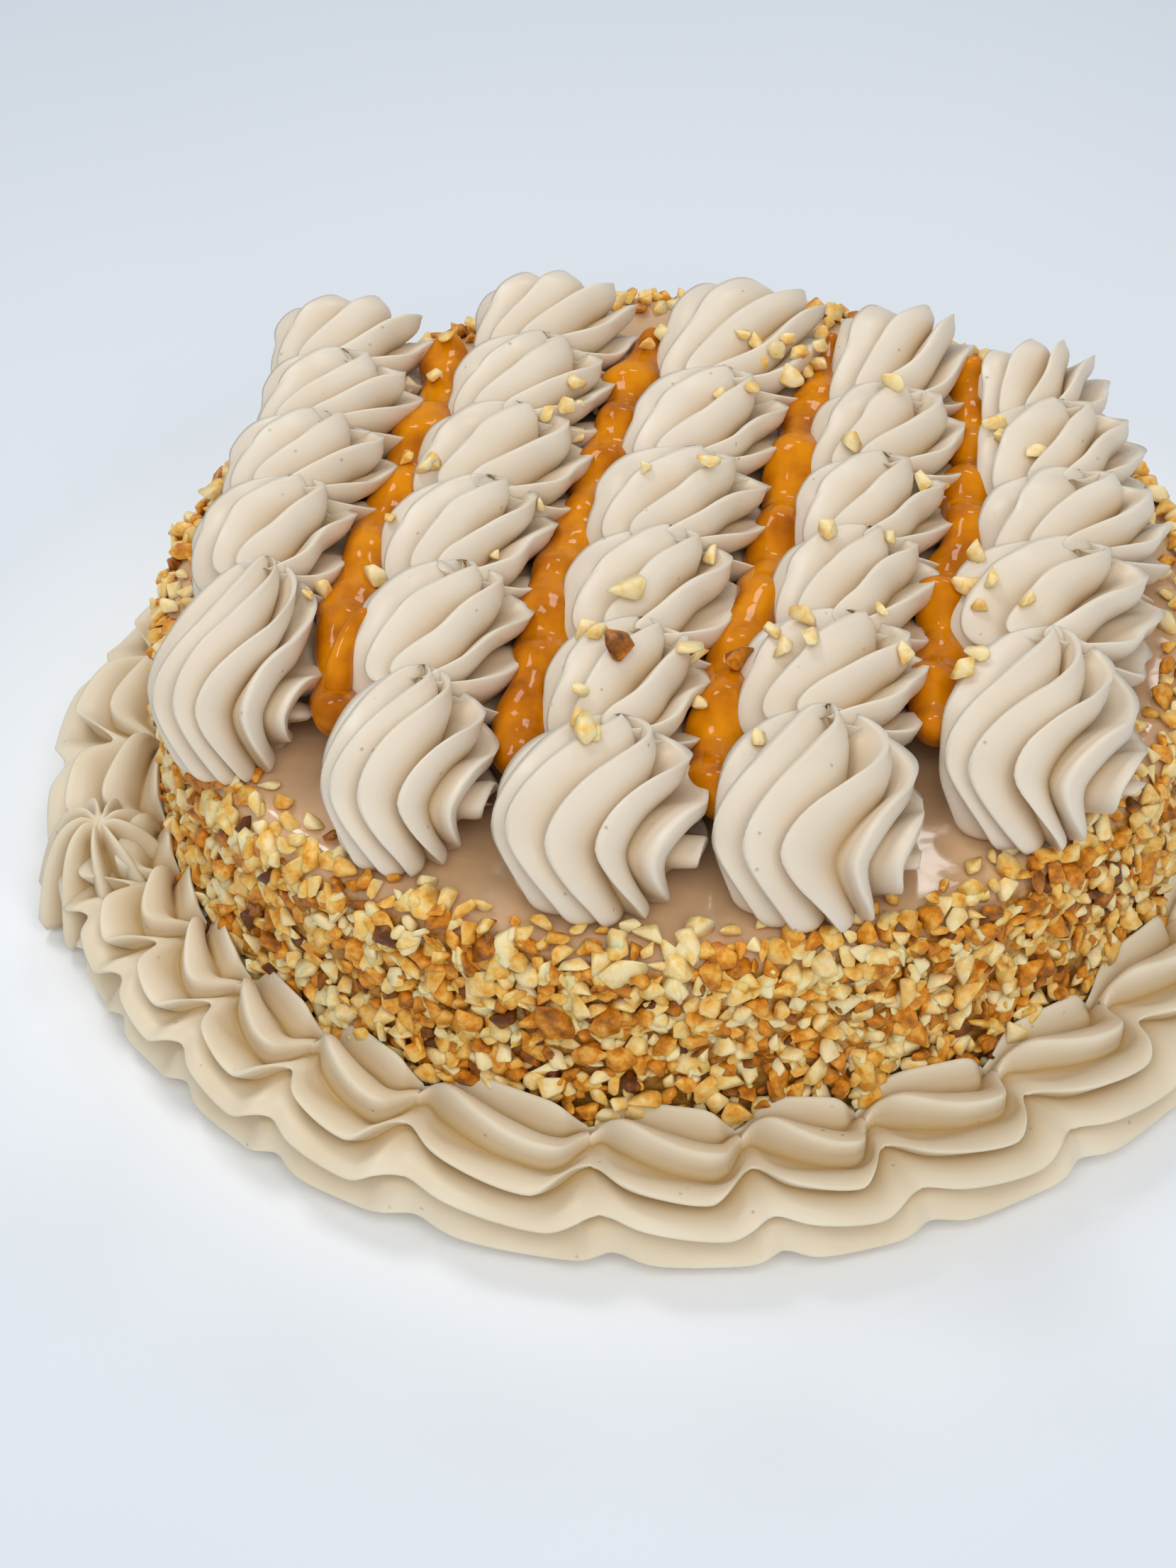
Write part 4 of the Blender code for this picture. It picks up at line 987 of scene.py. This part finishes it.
def cream_material(name, colours, roughness):
    """Satin cream with pin holes painted dark as shade inside them, and painted shade in its creases. The
    colours are its light and deep tones and its painted crease shade.
    """
    # The third colour is painted shade for the creases.
    light, deep, crease = colours
    n = Nodes(name)
    s = n.shader
    given = n.add("ShaderNodeAttribute")
    given.attribute_name = "crease"
    broad = n.noise(45.0, 2.0)
    tone = n.ramp(broad, [(0.3, deep), (0.7, light)])
    pits = n.add("ShaderNodeTexVoronoi", Scale=230.0)
    n.link(n.place(), pits.inputs["Vector"])
    pit = n.ramp(pits.outputs["Distance"], [(0.035, (0.0, 0.0, 0.0)), (0.10, (1.0, 1.0, 1.0))])
    rare = n.ramp(n.noise(130.0, 2.0), [(0.49, (1.0, 1.0, 1.0)), (0.53, (0.0, 0.0, 0.0))])
    holes = n.mix(rare, pit, (1.0, 1.0, 1.0))
    # Painted shade in the pin holes: they are coloured darker than the cream.
    colour = n.mix(holes, tuple(0.70 * c for c in deep), tone)
    # Painted shade: the colour is mixed toward the crease colour by the crease attribute, most in the
    # creases.
    crease_shade_amount = n.math("POWER", given.outputs["Fac"], 1.25)
    colour = n.mix(n.math("MULTIPLY", crease_shade_amount, 0.92), colour, crease)
    n.link(colour, s.inputs["Base Color"])
    fine = n.noise(900.0, 3.0, 0.6)
    soft = n.noise(160.0, 3.0)
    normal = n.bump(soft, 0.10, 0.0012)
    normal = n.bump(fine, 0.06, 0.0003, normal)
    normal = n.bump(holes, 0.5, 0.0003, normal)
    n.link(normal, s.inputs["Normal"])
    n.link(n.math("MULTIPLY_ADD", soft, 0.16, roughness - 0.08), s.inputs["Roughness"])
    n.values(Subsurface_Weight=0.25, Subsurface_Radius=(1.0, 0.72, 0.48), Subsurface_Scale=0.0022, IOR=1.42)
    return n.material


def glaze_material():
    """Glossy tan glaze, painted dark brown on the wall behind the nuts: painted shade between the nuts,
    mottled like crumbs.
    """
    n = Nodes("glaze")
    s = n.shader
    tone = n.ramp(n.noise(24.0, 3.0), [(0.3, (0.59, 0.370, 0.200)), (0.7, (0.69, 0.455, 0.265))])
    split = n.add("ShaderNodeSeparateXYZ")
    n.link(n.place(), split.inputs["Vector"])
    wall = n.ramp(n.math("MULTIPLY", split.outputs["Z"], 1.0 / CAKE_TOP),
                  [(0.93, (1.0, 1.0, 1.0)), (0.965, (0.0, 0.0, 0.0))])
    # Painted shade between the wall's nuts, with a crumb-like mottle: dark brown below the shoulder.
    crumbs_and_shade = n.ramp(n.noise(520.0, 3.0, 0.65), [(0.38, (0.34, 0.130, 0.008)), (0.60, (0.60, 0.330, 0.080))])
    n.link(n.mix(wall, tone, crumbs_and_shade), s.inputs["Base Color"])
    soft = n.noise(55.0, 2.0)
    fine = n.noise(420.0, 3.0)
    normal = n.bump(soft, 0.30, 0.003)
    normal = n.bump(n.noise(125.0, 2.0), 0.30, 0.0015, normal)
    normal = n.bump(fine, 0.03, 0.0004, normal)
    n.link(normal, s.inputs["Normal"])
    n.link(n.math("MULTIPLY_ADD", soft, 0.10, 0.10), s.inputs["Roughness"])
    n.values(Subsurface_Weight=0.15, Subsurface_Radius=(1.0, 0.6, 0.35), Subsurface_Scale=0.002, IOR=1.45,
             Coat_Weight=0.4, Coat_Roughness=0.06)
    return n.material


def nut_material():
    """Hazelnut from ivory to dark brown, by each piece's toast and in patches."""
    n = Nodes("chopped_hazelnut")
    s = n.shader
    given = n.add("ShaderNodeAttribute")
    given.attribute_name = "toast"
    split = n.add("ShaderNodeSeparateColor")
    n.link(given.outputs["Color"], split.inputs["Color"])
    patch = n.noise(420.0, 3.0, 0.6)
    level = n.math("MULTIPLY_ADD", patch, 1.7, n.math("SUBTRACT", split.outputs["Red"], 0.74))
    tone = n.ramp(n.math("MULTIPLY", level, 0.62), [
        (0.05, (0.96, 0.80, 0.46)),
        (0.21, (0.94, 0.655, 0.235)),
        (0.38, (0.88, 0.485, 0.085)),
        (0.54, (0.74, 0.27, 0.012)),
        (0.76, (0.35, 0.11, 0.006)),
        (0.95, (0.12, 0.035, 0.008)),
    ])
    shade = n.ramp(split.outputs["Green"], [(0.0, (0.90, 0.90, 0.88)), (1.0, (1.0, 1.0, 1.0))])
    colour = n.mix(1.0, tone, shade, "MULTIPLY")
    n.link(colour, s.inputs["Base Color"])
    grain = n.noise(1300.0, 3.0, 0.6)
    normal = n.bump(grain, 0.25, 0.0003)
    n.link(normal, s.inputs["Normal"])
    n.link(n.math("MULTIPLY_ADD", grain, 0.2, 0.30), s.inputs["Roughness"])
    n.values(Subsurface_Weight=0.35, Subsurface_Radius=(1.0, 0.5, 0.12), Subsurface_Scale=0.0012, IOR=1.47)
    return n.material


def caramel_material():
    """Glossy amber caramel, with gentle dents that break up its highlights."""
    n = Nodes("caramel")
    s = n.shader
    tone = n.ramp(n.noise(95.0, 3.0), [
        (0.28, (0.33, 0.082, 0.0001)),
        (0.45, (0.55, 0.168, 0.0002)),
        (0.62, (0.72, 0.257, 0.0004)),
    ])
    n.link(tone, s.inputs["Base Color"])
    soft = n.noise(85.0, 2.0)
    n.link(n.bump(soft, 0.50, 0.003), s.inputs["Normal"])
    n.link(n.math("MULTIPLY_ADD", soft, 0.05, 0.02), s.inputs["Roughness"])
    n.values(Subsurface_Weight=0.25, Subsurface_Radius=(1.0, 0.50, 0.08), Subsurface_Scale=0.003, IOR=1.40,
             Specular_IOR_Level=0.30)
    return n.material


def floor_material():
    """Pale floor with a painted pool of light: brightest next to the cake, darker and bluer further away."""
    n = Nodes("pale_floor")
    tone = n.ramp(n.noise(6.0, 2.0), [(0.3, (0.94, 0.955, 0.975)), (0.7, (0.96, 0.975, 0.995))])
    away = n.add("ShaderNodeVectorMath")
    away.operation = "LENGTH"
    n.link(n.place(), away.inputs[0])
    # Painted light: the floor's colour is brightest next to the cake and falls off with distance.
    painted_light_falloff = n.ramp(away.outputs["Value"], [(0.122, (0.98, 0.99, 1.0)), (0.136, (0.885, 0.92, 0.965)),
                                          (0.158, (0.785, 0.825, 0.875)), (0.40, (0.64, 0.69, 0.76))])
    n.link(n.mix(1.0, tone, painted_light_falloff, "MULTIPLY"), n.shader.inputs["Base Color"])
    n.values(Roughness=0.55)
    return n.material


FLOOR_REACH = 3.0
ROOM_COLOUR = (0.92, 0.96, 1.0)
ROOM_STRENGTH = 0.42
# Lamps: name, place, the spot it faces, size in metres, power in watts, colour, and whether gloss shows it
LIGHTS = (
    ("window", (-0.60, 0.45, 1.20), (0.0, 0.0, 0.05), (0.4, 0.4), 4.2, (1.0, 0.98, 0.95), True),
    ("window_back", (0.0, 0.89, 0.95), (0.0, 0.0, 0.05), (0.30, 0.22), 1.5, (1.0, 0.99, 0.97), True),
    ("room_front", (0.40, -1.10, 1.45), (0.0, 0.0, 0.03), (2.0, 1.4), 21.5, (1.0, 0.985, 0.96), False),
)


def area_light(name, spot, target, size, power, colour):
    light = bpy.data.lights.new(name, "AREA")
    light.shape = "RECTANGLE"
    light.size, light.size_y = size
    light.energy = power
    light.color = colour
    obj = bpy.data.objects.new(name, light)
    obj.location = spot
    obj.rotation_euler = (Vector(target) - Vector(spot)).to_track_quat("-Z", "Y").to_euler()
    bpy.context.scene.collection.objects.link(obj)
    return obj


def make_stage():
    """The floor, the room's even light and three lamps."""
    mesh = bpy.data.meshes.new("floor")
    corners = [(x * FLOOR_REACH, y * FLOOR_REACH, 0.0) for x, y in ((-1, -1), (1, -1), (1, 1), (-1, 1))]
    mesh.from_pydata(corners, [], [(0, 1, 2, 3)])
    floor = bpy.data.objects.new("floor", mesh)
    mesh.materials.append(floor_material())
    bpy.context.scene.collection.objects.link(floor)
    world = bpy.data.worlds.new("room")
    world.use_nodes = True
    background = world.node_tree.nodes["Background"]
    background.inputs["Color"].default_value = (*ROOM_COLOUR, 1.0)
    background.inputs["Strength"].default_value = ROOM_STRENGTH
    bpy.context.scene.world = world
    for name, spot, target, size, power, colour, glossy in LIGHTS:
        light = area_light(name, spot, target, size, power, colour)
        light.visible_glossy = glossy
    bpy.context.scene.view_settings.view_transform = "Standard"


def make_camera():
    """The photograph's view."""
    right, up, forward = camera_axes()
    eye = CAMERA_TARGET - forward * CAMERA_DISTANCE
    camera = bpy.data.cameras.new("camera")
    camera.lens = CAMERA_LENS
    camera.sensor_width = SENSOR
    obj = bpy.data.objects.new("camera", camera)
    obj.matrix_world = Matrix.Translation(eye) @ Matrix((right, up, -forward)).transposed().to_4x4()
    bpy.context.scene.collection.objects.link(obj)
    bpy.context.scene.camera = obj


def main():
    make_camera()
    cream = cream_material("piped_cream", ROW_CREAM, 0.38)
    border_cream = cream_material("border_cream", BORDER_CREAM, 0.41)
    glaze = glaze_material()
    nut = nut_material()
    caramel = caramel_material()
    rows = [make_row(name, cream) for name in ROWS]
    make_border(border_cream)
    make_glaze(glaze)
    rng = random.Random(SEED + 60)
    caramels = [make_caramel(name, rng, caramel) for name in CARAMEL_BANDS]
    shapes = chip_shapes(random.Random(SEED + 70), CHIP_KINDS)
    make_wall_nuts(nut, shapes)
    make_top_nuts(nut, shapes, rows, caramels)
    make_stage()


main()
